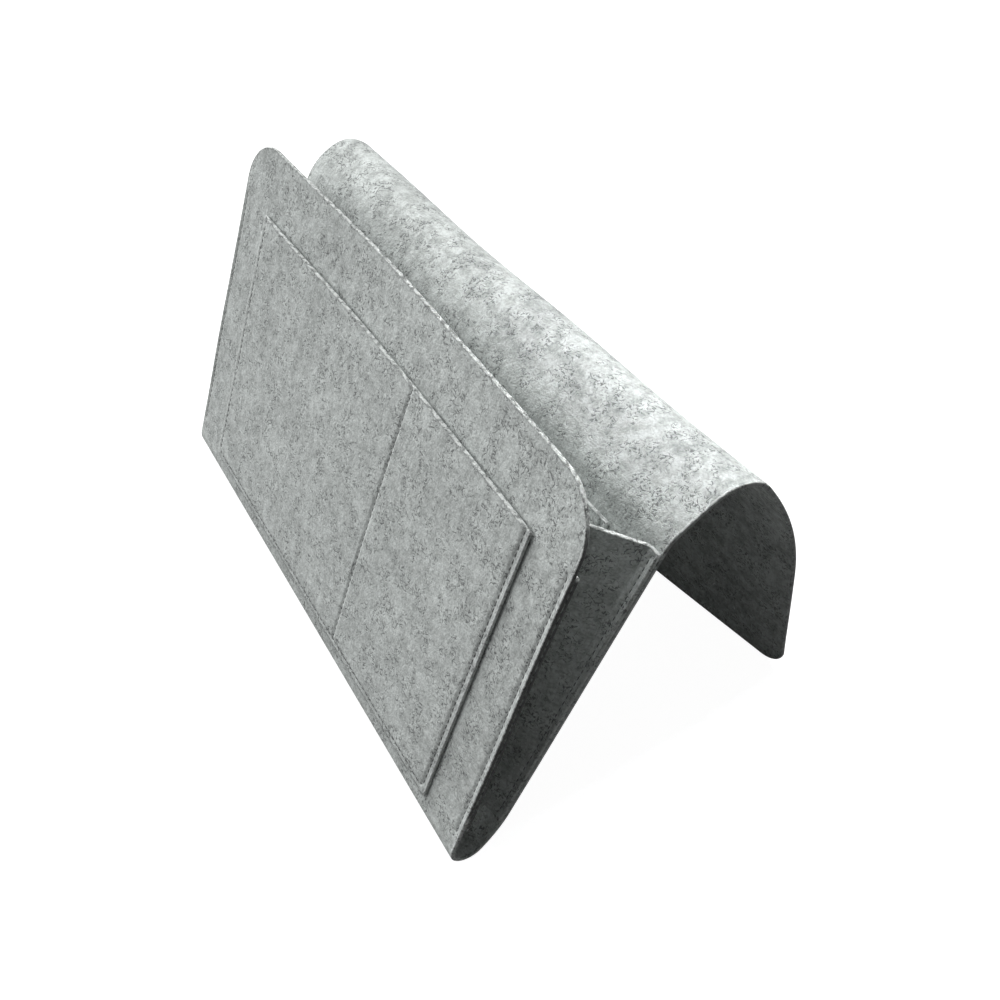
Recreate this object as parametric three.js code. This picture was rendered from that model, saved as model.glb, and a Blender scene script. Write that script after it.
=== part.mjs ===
// Bedside caddy of grey felt. One long sheet makes the front panel, the rounded fold that the caddy
// stands on, the back panel and the flap, which arches over to the rear and reaches the ground again.
// Bellows gussets close both ends of the pocket. A flat divided pocket is sewn to the front panel and
// a sleeve to the inside of the back panel.
// Millimetres and degrees, X along the caddy, Y from front to rear, Z up.
import * as THREE from 'three';

// The felt
const feltThickness = 2;
const sewnGap = 0.3; // between layers sewn together, and between lengths of the long sheet

// The long sheet, measured along the middle of the felt
const caddyWidth = 320;
const frontHeight = 188;
const frontLean = 62.6; // from the ground
const frontBow = 5.8; // how far the middle of the front panel's top edge hangs back
const frontCornerRadius = 25;
const foldRadius = 8;
const foldTurn = 150; // the tight part of the fold, and a gentler heel turns the rest
const heelLength = 24;
const backHeight = 145;
const backLeanLeft = 58.1; // from the ground: the free felt stands a little twisted
const backLeanRight = 55.2;

// The flap, from the back panel to its end: length of each strip, and its bend at either end
const rootLength = 8;
const riseLength = 18;
const crownLength = 14;
const turnLength = 16;
const fallLength = 28;
const lowerLength = 44; // this last strip takes up the bend that is left
const flapStrips = [
  { length: rootLength, left: 15, right: 29 },
  { length: riseLength, left: 32, right: 5 },
  { length: crownLength, left: 51, right: 36 },
  { length: turnLength, left: 41, right: 47 },
  { length: fallLength, left: 9, right: 10 },
];
const tailHang = 90.7; // the flat tail's heading, below the ground's
const tailCornerRadius = 12;

// The outer pocket and the inner sleeve
const pocketWidth = 262;
const pocketCentreX = 2;
const pocketFoot = 6; // heights are up the panels, from the tight part of the fold
const pocketMargin = 32; // below the front panel's top edge
const pocketDividerX = 34;
const sleeveSideMargin = 28;
const sleeveFoot = 46;
const sleeveMargin = 8; // below the flap

// The gussets
const gussetFrontFoot = 14;
const gussetFrontMargin = 32; // below the front panel's top edge
const gussetRearFoot = 18;
const gussetRearMargin = 1; // below the flap
const gussetFlange = 6;
const gussetHalfWidth = 26; // from the seam to the crease
const creaseGap = 0.6; // between the two halves at the crease

// The seams
const threadDiameter = 0.8;
const stitchInset = 3; // from the cut edge
const seamEndInset = 3;
const seamCornerRadius = 4;

// The finishes
const felt = { color: 0xa9aeac, roughness: 0.95, metalness: 0 };
const thread = { color: 0x5c605f, roughness: 0.8, metalness: 0 };

// Fineness of the solids
const acrossColumns = 16;
const frontRows = 6;
const foldRows = 10;
const heelRows = 3;
const stripRows = 4;
const cornerRows = 6;
const gussetRows = 6;
const seamRunPoints = 9;
const seamCornerPoints = 4;
const threadSides = 6;

const halfFelt = feltThickness / 2;
const halfWidth = caddyWidth / 2;
const backTop = heelLength + backHeight;
const radians = THREE.MathUtils.degToRad;
const lerp = THREE.MathUtils.lerp;

// Depths are measured square to the sheet from its middle, positive towards the inside of the pocket
const outerFace = -halfFelt;
const innerFace = halfFelt;

// A stretch of the sheet's outline at one end: it starts at (y, z) with a heading and turns evenly
function stretch(y, z, heading, length, turn) {
  const at = (distance, depth) => {
    const turned = (turn * distance) / length;
    const direction = heading + turned;
    const chord = turn === 0 ? distance : (2 * Math.sin(turned / 2) * length) / turn;
    const aim = heading + turned / 2;
    return {
      y: y + chord * Math.cos(aim) - depth * Math.sin(direction),
      z: z + chord * Math.sin(aim) + depth * Math.cos(direction),
    };
  };
  return { length, at, end: at(length, 0), endHeading: heading + turn };
}

const frontAngle = radians(frontLean);
const foldCentreHeight = foldRadius + halfFelt;
const frontFoot = {
  y: -foldRadius * Math.sin(frontAngle),
  z: foldCentreHeight + foldRadius * Math.cos(frontAngle),
};

// The outline of the sheet behind the front panel at one end: fold, heel, back, flap strips and tail
function sheetOutline(end) {
  const tightTurn = radians(foldTurn);
  const fold = stretch(frontFoot.y, frontFoot.z, frontAngle - Math.PI, foldRadius * tightTurn, tightTurn);
  const backAngle = radians(end === 'left' ? backLeanLeft : backLeanRight);
  const heel = stretch(fold.end.y, fold.end.z, fold.endHeading, heelLength, backAngle - fold.endHeading);
  const back = stretch(heel.end.y, heel.end.z, backAngle, backHeight, 0);
  const strips = [];
  let last = back;
  const addStrip = (length, turn) => {
    last = stretch(last.end.y, last.end.z, last.endHeading, length, turn);
    strips.push(last);
  };
  for (const strip of flapStrips) {
    addStrip(strip.length, -radians(strip[end]));
  }
  addStrip(lowerLength, -radians(tailHang) - last.endHeading);
  const reach = last.end.z / -Math.sin(last.endHeading); // the tail is cut to reach the ground
  const tail = stretch(last.end.y, last.end.z, last.endHeading, reach, 0);
  return { fold, heel, back, strips, tail };
}

const outlines = { left: sheetOutline('left'), right: sheetOutline('right') };

// A point of the sheet between its two ends, by the share of the way along a stretch
function sheetPoint(pick, x, share, depth) {
  const left = pick(outlines.left);
  const right = pick(outlines.right);
  const from = left.at(share * left.length, depth);
  const to = right.at(share * right.length, depth);
  const across = x / caddyWidth + 0.5;
  return new THREE.Vector3(x, lerp(from.y, to.y, across), lerp(from.z, to.z, across));
}

function backPoint(x, height, depth) {
  if (height < heelLength) {
    return sheetPoint((outline) => outline.heel, x, height / heelLength, depth);
  }
  return sheetPoint((outline) => outline.back, x, (height - heelLength) / backHeight, depth);
}

function frontPoint(x, height, depth) {
  const bow = frontBow * (1 - (x / halfWidth) ** 2) * (height / frontHeight) ** 2;
  const back = depth + bow;
  return new THREE.Vector3(
    x,
    frontFoot.y + height * Math.cos(frontAngle) + back * Math.sin(frontAngle),
    frontFoot.z + height * Math.sin(frontAngle) - back * Math.cos(frontAngle),
  );
}

// Even steps from a start to an end, both included
function steps(from, to, count) {
  return Array.from({ length: count + 1 }, (_, i) => lerp(from, to, i / count));
}

// Rows of a rectangular piece
function plainRows(heights, low, high) {
  return heights.map((height) => ({ height, low, high }));
}

// Rows of the last stretch of a piece whose two end corners are rounded
function roundedRows(endHeight, radius, halfLength) {
  return steps(0, Math.PI / 2, cornerRows).map((angle) => {
    const reach = halfLength - radius * (1 - Math.cos(angle));
    return { height: endHeight - radius * (1 - Math.sin(angle)), low: -reach, high: reach };
  });
}

// Closed geometry from vertices and triangles, turned so that its faces point outwards
function closedGeometry(vertices, triangles) {
  let volume = 0;
  for (const [a, b, c] of triangles) {
    volume += vertices[a].dot(new THREE.Vector3().crossVectors(vertices[b], vertices[c]));
  }
  const outward = volume > 0 ? triangles : triangles.map(([a, b, c]) => [a, c, b]);
  const geometry = new THREE.BufferGeometry().setFromPoints(vertices);
  geometry.setIndex(outward.flat());
  geometry.computeVertexNormals();
  return geometry;
}

// A felt piece: a grid of rows and columns on each face, closed by its cut edges
function feltSolid(rows, columns, pointAt, faces) {
  const vertices = [];
  for (const depth of faces) {
    for (const row of rows) {
      for (const across of steps(row.low, row.high, columns)) {
        vertices.push(pointAt(across, row.height, depth));
      }
    }
  }
  const triangles = [];
  const corner = ([face, row, column]) => (face * rows.length + row) * (columns + 1) + column;
  const quad = (...corners) => {
    const [a, b, c, d] = corners.map(corner);
    triangles.push([a, b, c], [a, c, d]);
  };
  const lastRow = rows.length - 1;
  for (let row = 0; row < lastRow; row += 1) {
    const next = row + 1;
    for (let column = 0; column < columns; column += 1) {
      quad([0, row, column], [0, row, column + 1], [0, next, column + 1], [0, next, column]);
      quad([1, row, column], [1, next, column], [1, next, column + 1], [1, row, column + 1]);
    }
    quad([0, row, 0], [0, next, 0], [1, next, 0], [1, row, 0]);
    quad([0, row, columns], [1, row, columns], [1, next, columns], [0, next, columns]);
  }
  for (let column = 0; column < columns; column += 1) {
    const next = column + 1;
    quad([0, 0, column], [1, 0, column], [1, 0, next], [0, 0, next]);
    quad([0, lastRow, column], [0, lastRow, next], [1, lastRow, next], [1, lastRow, column]);
  }
  return closedGeometry(vertices, triangles);
}

// A sewing thread: a small round section carried along a line of points on one surface
function threadSolid(path, surfacePoint, depth) {
  const radius = threadDiameter / 2;
  const middle = path.map(({ x, height }) => surfacePoint(x, height, depth));
  const above = path.map(({ x, height }) => surfacePoint(x, height, depth + radius));
  const vertices = [];
  middle.forEach((point, i) => {
    const before = middle[Math.max(i - 1, 0)];
    const after = middle[Math.min(i + 1, middle.length - 1)];
    const along = after.clone().sub(before).normalize();
    const out = above[i].clone().sub(point).normalize();
    const side = new THREE.Vector3().crossVectors(along, out).normalize();
    for (let corner = 0; corner < threadSides; corner += 1) {
      const angle = (2 * Math.PI * corner) / threadSides;
      const offset = out.clone().multiplyScalar(radius * Math.cos(angle));
      vertices.push(point.clone().add(offset).addScaledVector(side, radius * Math.sin(angle)));
    }
  });
  const triangles = [];
  const lastRing = (middle.length - 1) * threadSides;
  for (let ring = 0; ring < lastRing; ring += threadSides) {
    const upper = ring + threadSides;
    for (let corner = 0; corner < threadSides; corner += 1) {
      const next = (corner + 1) % threadSides;
      triangles.push([ring + corner, ring + next, upper + next]);
      triangles.push([ring + corner, upper + next, upper + corner]);
    }
  }
  for (let corner = 1; corner < threadSides - 1; corner += 1) {
    triangles.push([0, corner + 1, corner], [lastRing, lastRing + corner, lastRing + corner + 1]);
  }
  return closedGeometry(vertices, triangles);
}

// A straight seam up a panel
function straightSeam(x, foot, top) {
  return steps(foot, top, seamRunPoints).map((height) => ({ x, height }));
}

// A seam down one side, along the foot and up the other side, with rounded corners
function threeSidedSeam(left, right, foot, top) {
  const turnLeft = left + seamCornerRadius;
  const turnRight = right - seamCornerRadius;
  const turnHeight = foot + seamCornerRadius;
  const corner = (centre, from, to) =>
    steps(from, to, seamCornerPoints).map((angle) => ({
      x: centre + seamCornerRadius * Math.cos(angle),
      height: turnHeight + seamCornerRadius * Math.sin(angle),
    }));
  return [
    ...steps(top, turnHeight, seamRunPoints).slice(0, -1).map((height) => ({ x: left, height })),
    ...corner(turnLeft, Math.PI, 1.5 * Math.PI),
    ...steps(turnLeft, turnRight, acrossColumns).slice(1, -1).map((x) => ({ x, height: foot })),
    ...corner(turnRight, 1.5 * Math.PI, 2 * Math.PI),
    ...steps(turnHeight, top, seamRunPoints).slice(1).map((height) => ({ x: right, height })),
  ];
}

const caddy = new THREE.Group();

function addPiece(group, name, geometry, finish) {
  const mesh = new THREE.Mesh(geometry, new THREE.MeshStandardMaterial(finish));
  mesh.name = name;
  group.add(mesh);
}

const addFelt = (group, name, geometry) => addPiece(group, name, geometry, felt);
const addThread = (group, name, geometry) => addPiece(group, name, geometry, thread);

// The long sheet, cut into nodes at its bends
const longSheet = new THREE.Group();
caddy.add(longSheet);
const feltFaces = [outerFace, innerFace];
const halfGap = sewnGap / 2;

const frontStraight = frontHeight - frontCornerRadius;
const frontGrid = [
  ...plainRows(steps(halfGap, frontStraight, frontRows).slice(0, -1), -halfWidth, halfWidth),
  ...roundedRows(frontHeight, frontCornerRadius, halfWidth),
];
addFelt(longSheet, 'front_panel', feltSolid(frontGrid, acrossColumns, frontPoint, feltFaces));

// A full-width node of the sheet over one stretch, trimmed by half a gap at the ends that meet another
function addStretch(name, pick, rowCount) {
  const trim = halfGap / pick(outlines.right).length;
  const rows = plainRows(steps(trim, 1 - trim, rowCount), -halfWidth, halfWidth);
  const pointAt = (x, share, depth) => sheetPoint(pick, x, share, depth);
  addFelt(longSheet, name, feltSolid(rows, acrossColumns, pointAt, feltFaces));
}

addStretch('bottom_fold', (outline) => outline.fold, foldRows);
const backHeights = [
  ...steps(halfGap, heelLength, heelRows).slice(0, -1),
  ...steps(heelLength, backTop - halfGap, frontRows),
];
const backGrid = plainRows(backHeights, -halfWidth, halfWidth);
addFelt(longSheet, 'back_panel', feltSolid(backGrid, acrossColumns, backPoint, feltFaces));
outlines.right.strips.forEach((_, i) => {
  addStretch(`flap_strip_${i + 1}`, (outline) => outline.strips[i], stripRows);
});

const tailPick = (outline) => outline.tail;
const tailLength = outlines.right.tail.length;
const tailStraight = tailLength - tailCornerRadius;
const tailGrid = [
  ...plainRows(steps(halfGap, tailStraight, stripRows).slice(0, -1), -halfWidth, halfWidth),
  ...roundedRows(tailLength, tailCornerRadius, halfWidth),
];
const tailPoint = (x, height, depth) => sheetPoint(tailPick, x, height / tailLength, depth);
addFelt(longSheet, 'flap_tail', feltSolid(tailGrid, acrossColumns, tailPoint, feltFaces));

// The outer pocket lies on the front panel, the inner sleeve on the back panel
const pockets = new THREE.Group();
caddy.add(pockets);
const layerStep = feltThickness + sewnGap;
const pocketFaces = feltFaces.map((depth) => depth - layerStep);
const sleeveFaces = feltFaces.map((depth) => depth + layerStep);
const pocketHalf = pocketWidth / 2;
const pocketTop = frontHeight - pocketMargin;
const sleeveHalf = halfWidth - sleeveSideMargin;
const sleeveTop = backTop - sleeveMargin;
const pocketHeights = steps(pocketFoot, pocketTop, frontRows);
const pocketGrid = plainRows(pocketHeights, pocketCentreX - pocketHalf, pocketCentreX + pocketHalf);
const sleeveGrid = plainRows([sleeveFoot, sleeveTop], -sleeveHalf, sleeveHalf);
addFelt(pockets, 'outer_pocket', feltSolid(pocketGrid, acrossColumns, frontPoint, pocketFaces));
addFelt(pockets, 'inner_sleeve', feltSolid(sleeveGrid, acrossColumns, backPoint, sleeveFaces));

// A gusset: a flange sewn to each panel, and two halves that fold inwards to a crease
const gussetFoot = { front: gussetFrontFoot, rear: gussetRearFoot };
const gussetTop = { front: frontHeight - gussetFrontMargin, rear: backTop - gussetRearMargin };
const gussetHeight = (place, share) => lerp(gussetFoot[place], gussetTop[place], share);

function addGusset(name, side) {
  const gusset = new THREE.Group();
  caddy.add(gusset);
  const seamX = side * (halfWidth - gussetFlange);
  const shares = steps(0, 1, gussetRows);
  const flangeGrid = plainRows(shares, seamX, side * halfWidth);
  const halfGrid = plainRows(shares, 0, 1);
  const panelPoints = {
    front: (x, share, depth) => frontPoint(x, gussetHeight('front', share), depth),
    rear: (x, share, depth) => backPoint(x, gussetHeight('rear', share), depth),
  };
  for (const [place, opposite] of [['front', 'rear'], ['rear', 'front']]) {
    addFelt(gusset, `${name}_${place}_flange`, feltSolid(flangeGrid, 1, panelPoints[place], sleeveFaces));

    // One half, from its seam to the crease halfway between the two panels
    const halfPoint = (width, share, depth) => {
      const seam = panelPoints[place](seamX, share, layerStep);
      const towards = panelPoints[opposite](seamX, share, layerStep).sub(seam);
      const rise = towards.length() / 2 - halfFelt - creaseGap / 2;
      towards.normalize();
      const inwards = new THREE.Vector3(-side, 0, 0);
      const slope = Math.asin(rise / gussetHalfWidth);
      const along = inwards.clone().multiplyScalar(Math.cos(slope)).addScaledVector(towards, Math.sin(slope));
      const square = towards.multiplyScalar(Math.cos(slope)).addScaledVector(inwards, -Math.sin(slope));
      const start = (halfFelt * Math.sin(slope) + sewnGap) / Math.cos(slope);
      return seam.addScaledVector(along, lerp(start, gussetHalfWidth, width)).addScaledVector(square, depth);
    };
    addFelt(gusset, `${name}_${place}_half`, feltSolid(halfGrid, 1, halfPoint, feltFaces));
  }
}

addGusset('gusset_left', -1);
addGusset('gusset_right', 1);

// The seams, each a thread lying on the face that shows
const seams = new THREE.Group();
caddy.add(seams);
const threadLift = sewnGap + threadDiameter / 2;
const onFront = outerFace - threadLift;
const onInnerLayer = innerFace + layerStep + threadLift;

function gussetSeam(x, place) {
  return straightSeam(x, gussetFoot[place] + seamEndInset, gussetTop[place] - seamEndInset);
}

for (const [name, side] of Object.entries({ left: -1, right: 1 })) {
  const x = side * (halfWidth - stitchInset);
  addThread(seams, `seam_front_${name}`, threadSolid(gussetSeam(x, 'front'), frontPoint, onFront));
  addThread(seams, `seam_rear_${name}`, threadSolid(gussetSeam(x, 'rear'), backPoint, onInnerLayer));
}

function layerSeam(centre, halfLength, foot, top) {
  const reach = halfLength - stitchInset;
  return threeSidedSeam(centre - reach, centre + reach, foot + stitchInset, top - seamEndInset);
}

const onPocket = onFront - layerStep;
const pocketSeam = layerSeam(pocketCentreX, pocketHalf, pocketFoot, pocketTop);
addThread(seams, 'seam_outer_pocket', threadSolid(pocketSeam, frontPoint, onPocket));
const dividerFoot = pocketFoot + stitchInset + threadDiameter + sewnGap;
const dividerSeam = straightSeam(pocketDividerX, dividerFoot, pocketTop - seamEndInset);
addThread(seams, 'seam_pocket_divider', threadSolid(dividerSeam, frontPoint, onPocket));
const sleeveSeam = layerSeam(0, sleeveHalf, sleeveFoot, sleeveTop);
addThread(seams, 'seam_inner_sleeve', threadSolid(sleeveSeam, backPoint, onInnerLayer));

// The origin is under the middle of the caddy's footprint
const footprint = new THREE.Box3().setFromObject(caddy);
const centre = footprint.getCenter(new THREE.Vector3());
caddy.position.set(-centre.x, -centre.y, -footprint.min.z);

export default caddy;
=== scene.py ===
"""Bedside caddy of grey wool felt: looks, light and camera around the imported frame.

One long sheet of felt makes the front panel, the fold that the caddy stands on, the back panel and the
flap that arches over to the rear. A divided pocket is sewn to the front, a sleeve to the inside of the
back, and a bellows gusset closes each end. Lengths are millimetres until a mesh is made.
"""

from __future__ import annotations

import logging
import math
from collections.abc import Callable, Sequence
from dataclasses import dataclass, field
from enum import Enum
from functools import partial

import bpy
import numpy as np
from mathutils import Matrix, Vector

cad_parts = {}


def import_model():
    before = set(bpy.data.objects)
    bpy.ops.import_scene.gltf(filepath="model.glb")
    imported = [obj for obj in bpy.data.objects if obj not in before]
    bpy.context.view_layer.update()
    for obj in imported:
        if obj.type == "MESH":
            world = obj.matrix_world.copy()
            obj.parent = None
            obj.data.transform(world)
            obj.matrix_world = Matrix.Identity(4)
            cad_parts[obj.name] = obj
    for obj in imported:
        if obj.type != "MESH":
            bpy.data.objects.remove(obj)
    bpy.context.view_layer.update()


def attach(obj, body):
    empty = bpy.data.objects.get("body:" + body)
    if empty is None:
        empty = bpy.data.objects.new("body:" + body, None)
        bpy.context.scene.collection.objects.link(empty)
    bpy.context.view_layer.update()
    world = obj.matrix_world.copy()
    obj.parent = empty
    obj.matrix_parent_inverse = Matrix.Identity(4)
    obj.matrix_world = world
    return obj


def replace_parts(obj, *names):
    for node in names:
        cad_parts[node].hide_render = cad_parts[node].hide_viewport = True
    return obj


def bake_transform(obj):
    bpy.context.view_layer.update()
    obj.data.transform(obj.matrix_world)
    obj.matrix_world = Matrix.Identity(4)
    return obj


LOG = logging.getLogger("caddy")
MM = 0.001
UV_MAP = "flat_pattern"
FIRST_STRIP = 3
FINE_REACH = 3.5
FINE_SHARES = (-1.0, -0.6, -0.34, -0.17, 0.0, 0.17, 0.34, 0.6, 1.0)
FINE_CLEARANCE = 0.3
LEAST_GAP = 0.15
TINY = 1e-9
WHITE = (1.0, 1.0, 1.0, 1.0)
Surface = Callable[[np.ndarray, np.ndarray, np.ndarray], np.ndarray]
Colour = tuple[float, float, float, float]
Pair = tuple[float, float]


class Side(Enum):
    """The two ends of the caddy, by the sign of X."""

    LEFT = -1
    RIGHT = 1

    @property
    def label(self) -> str:
        """The end's name in lower case."""
        return self.name.lower()


class Panel(Enum):
    """The two panels that a gusset is sewn to."""

    FRONT = "front"
    REAR = "rear"


def smooth(value: np.ndarray) -> np.ndarray:
    """Ease a share from 0 to 1 with no slope at its ends."""
    share = np.clip(value, 0.0, 1.0)
    return share * share * (3.0 - 2.0 * share)


def graded(low: float, high: float, step: float, marks: Sequence[float] = ()) -> np.ndarray:
    """Grid lines from low to high that lie closer together around some marks.

    Args:
        low: First line.
        high: Last line.
        step: Widest distance between lines.
        marks: Places that need fine detail.

    Returns:
        The lines in rising order.
    """
    lines = list(np.linspace(low, high, max(2, math.ceil((high - low) / step) + 1)))
    for mark in marks:
        clear = FINE_REACH + FINE_CLEARANCE
        lines = [line for line in lines if abs(line - mark) > clear or line in (low, high)]
        lines += [mark + FINE_REACH * share for share in FINE_SHARES]
    kept = sorted(line for line in lines if low <= line <= high)
    apart = [kept[0]]
    for line in kept[1:]:
        if line - apart[-1] > LEAST_GAP:
            apart.append(line)
    apart[-1] = high
    return np.array(apart)


def link(name: str, data: bpy.types.ID) -> bpy.types.Object:
    """Put a new object with its data into the scene."""
    placed = bpy.data.objects.new(name, data)
    bpy.context.scene.collection.objects.link(placed)
    return placed


def add_node(tree: bpy.types.NodeTree, kind: str, settings: dict, inputs: dict) -> bpy.types.Node:
    """Add a node to any tree.

    Args:
        tree: The tree.
        kind: The node's type.
        settings: Attributes that are set before its sockets.
        inputs: Values, or sockets to link from, by socket number, identifier or name.

    Returns:
        The node.
    """
    node = tree.nodes.new(kind)
    for key, value in settings.items():
        setattr(node, key, value)
    by_identifier = {socket.identifier: socket for socket in node.inputs}
    for key, value in inputs.items():
        socket = by_identifier.get(key) or node.inputs[key]
        if isinstance(value, bpy.types.NodeSocket):
            tree.links.new(value, socket)
        else:
            socket.default_value = value
    return node


@dataclass(frozen=True)
class Stretch:
    """An evenly turning length of the long sheet's outline at one end."""

    y: float
    z: float
    heading: float
    length: float
    turn: float

    def at(self, distance: np.ndarray, depth: np.ndarray) -> tuple[np.ndarray, np.ndarray]:
        """Find points of the outline.

        Args:
            distance: How far along the stretch.
            depth: Offset square to the sheet, positive towards the inside of the pocket.

        Returns:
            The points' Y and Z.
        """
        turned = self.turn * distance / self.length
        direction = self.heading + turned
        chord = distance
        if self.turn:
            chord = 2.0 * np.sin(turned / 2.0) * self.length / self.turn
        aim = self.heading + turned / 2.0
        y = self.y + chord * np.cos(aim) - depth * np.sin(direction)
        z = self.z + chord * np.sin(aim) + depth * np.cos(direction)
        return y, z

    def then(self, length: float, turn: float) -> Stretch:
        """The stretch that goes on from this one's end."""
        y, z = self.at(np.float64(self.length), np.float64(0.0))
        return Stretch(float(y), float(z), self.heading + self.turn, length, turn)


@dataclass
class SheetForm:
    """The standing form of the long sheet.

    Its sizes are the solids' own. The crown's sag, the tail's wave and the ripples are the soft felt's and
    are not in the solids.
    """

    thickness: float = 2.0
    sewn_gap: float = 0.3
    width: float = 320.0
    front_height: float = 188.0
    front_lean: float = 62.6
    front_bow: float = 5.8
    fold_radius: float = 8.0
    fold_turn: float = 150.0
    heel_length: float = 24.0
    back_height: float = 145.0
    back_lean: dict[Side, float] = field(default_factory=lambda: {Side.LEFT: 58.1, Side.RIGHT: 55.2})
    strip_lengths: tuple[float, ...] = (8.0, 18.0, 14.0, 16.0, 28.0, 44.0)
    strip_bends: dict[Side, tuple[float, ...]] = field(
        default_factory=lambda: {
            Side.LEFT: (15.0, 32.0, 51.0, 41.0, 9.0),
            Side.RIGHT: (29.0, 5.0, 36.0, 47.0, 10.0),
        }
    )
    tail_hang: float = 90.1
    crown_sag: float = 2.6
    tail_wave: float = 7.0
    wave_span: float = 290.0
    wave_strip: int = 4
    ripple: float = 0.35
    ripple_waves: tuple[tuple[float, ...], ...] = ((1.0, 23.0, 41.0, 0.6), (0.7, 37.0, -29.0, 2.1))
    ripple_start: float = 25.0
    ripple_rise: float = 60.0
    ripple_fall: float = 30.0
    origin: Pair = (-81.187, 0.012)

    def __post_init__(self) -> None:
        """Lay the outlines of both ends and mark where each stretch starts."""
        self.half = self.thickness / 2.0
        self.half_width = self.width / 2.0
        self.layer = self.thickness + self.sewn_gap
        self.lean = math.radians(self.front_lean)
        self.foot_y = -self.fold_radius * math.sin(self.lean)
        self.foot_z = self.fold_radius + self.half + self.fold_radius * math.cos(self.lean)
        self.outlines = {side: self._outline(side) for side in Side}
        lengths = [stretch.length for stretch in self.outlines[Side.RIGHT]]
        self.marks = np.concatenate([[0.0], np.cumsum(lengths)])
        self.fold_end = float(self.marks[1])
        self.flap_start = float(self.marks[FIRST_STRIP])
        self.wave_start = float(self.marks[FIRST_STRIP + self.wave_strip - 1])
        self.tail_start = float(self.marks[-2])
        self.sheet_end = float(self.marks[-1])

    def _outline(self, side: Side) -> list[Stretch]:
        """The stretches behind the front panel at one end: fold, heel, back, flap strips and tail."""
        turn = math.radians(self.fold_turn)
        fold = Stretch(self.foot_y, self.foot_z, self.lean - math.pi, self.fold_radius * turn, turn)
        lean = math.radians(self.back_lean[side])
        heel = fold.then(self.heel_length, lean - fold.heading - fold.turn)
        stretches = [fold, heel, heel.then(self.back_height, 0.0)]
        for length, bend in zip(self.strip_lengths, self.strip_bends[side]):
            stretches.append(stretches[-1].then(length, -math.radians(bend)))
        last = stretches[-1]
        hang = -math.radians(self.tail_hang)
        stretches.append(last.then(self.strip_lengths[-1], hang - last.heading - last.turn))
        foot = stretches[-1].then(1.0, 0.0)
        stretches.append(stretches[-1].then(foot.z / -math.sin(foot.heading), 0.0))
        return stretches

    def point(self, x: np.ndarray, along: np.ndarray, depth: np.ndarray) -> np.ndarray:
        """Find points of the long sheet.

        Args:
            x: Place along the caddy.
            along: Place along the flat sheet: below 0 on the front panel, from 0 on in the fold and beyond.
            depth: Offset from the middle of the felt, positive towards the inside of the pocket.

        Returns:
            One row of X, Y and Z for each place.
        """
        x, along, depth = np.broadcast_arrays(*(np.asarray(a, float) for a in (x, along, depth)))
        y = np.empty_like(x)
        z = np.empty_like(x)
        front = along < 0.0
        height = -along[front]
        back = depth[front] + self.bow(x[front], height)
        y[front] = self.foot_y + height * math.cos(self.lean) + back * math.sin(self.lean)
        z[front] = self.foot_z + height * math.sin(self.lean) - back * math.cos(self.lean)
        across = x / self.width + 0.5
        last = len(self.marks) - 2
        places = np.clip(np.searchsorted(self.marks, along, side="right") - 1, 0, last)
        rippled = depth + self.ripples(x, along)
        for index in range(last + 1):
            here = (places == index) & ~front
            if not here.any():
                continue
            share = (along[here] - self.marks[index]) / (self.marks[index + 1] - self.marks[index])
            left, right = (self.outlines[side][index] for side in (Side.LEFT, Side.RIGHT))
            left_y, left_z = left.at(share * left.length, rippled[here])
            right_y, right_z = right.at(share * right.length, rippled[here])
            y[here] = left_y + (right_y - left_y) * across[here]
            z[here] = left_z + (right_z - left_z) * across[here]
        y = y - self.wave(x, along)
        z = z - self.sag(x, along)
        return np.stack([x, y + self.origin[0], z + self.origin[1]], axis=-1)

    def bow(self, x: np.ndarray, height: np.ndarray) -> np.ndarray:
        """How far the front panel hangs back, with the free felt's slight waves."""
        across = 1.0 - (x / self.half_width) ** 2
        rise = height / self.front_height
        return self.front_bow * across * rise**2 + self.ripples(x, -height)

    def ripples(self, x: np.ndarray, along: np.ndarray) -> np.ndarray:
        """The slight waves of free felt, fading out towards the fold and the flap's foot."""
        waves = sum(
            share * np.sin(x / span + along / run + phase) for share, span, run, phase in self.ripple_waves
        )
        rise = smooth((np.abs(along) - self.ripple_start) / self.ripple_rise)
        fade = rise * smooth((self.sheet_end - along) / self.ripple_fall)
        return self.ripple * fade * waves

    def sag(self, x: np.ndarray, along: np.ndarray) -> np.ndarray:
        """How far the flap's crown sinks between its ends."""
        share = np.clip((along - self.flap_start) / (self.tail_start - self.flap_start), 0.0, 1.0)
        across = np.clip(1.0 - (x / self.half_width) ** 2, 0.0, 1.0)
        return self.crown_sag * across * np.sin(math.pi * share) ** 2

    def wave(self, x: np.ndarray, along: np.ndarray) -> np.ndarray:
        """How far the flap's free end swings inwards between its corners."""
        rise = smooth((along - self.wave_start) / (self.sheet_end - self.wave_start))
        return self.tail_wave * rise * np.sin(math.pi * (x + self.half_width) / self.wave_span)

    def front_point(self, x: np.ndarray, height: np.ndarray, depth: np.ndarray) -> np.ndarray:
        """Points of the front panel by the height up the panel."""
        return self.point(x, -np.asarray(height, float), depth)

    def back_point(self, x: np.ndarray, height: np.ndarray, depth: np.ndarray) -> np.ndarray:
        """Points of the back panel by the height up the panel, heel included."""
        return self.point(x, np.asarray(height, float) + self.fold_end, depth)


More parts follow.
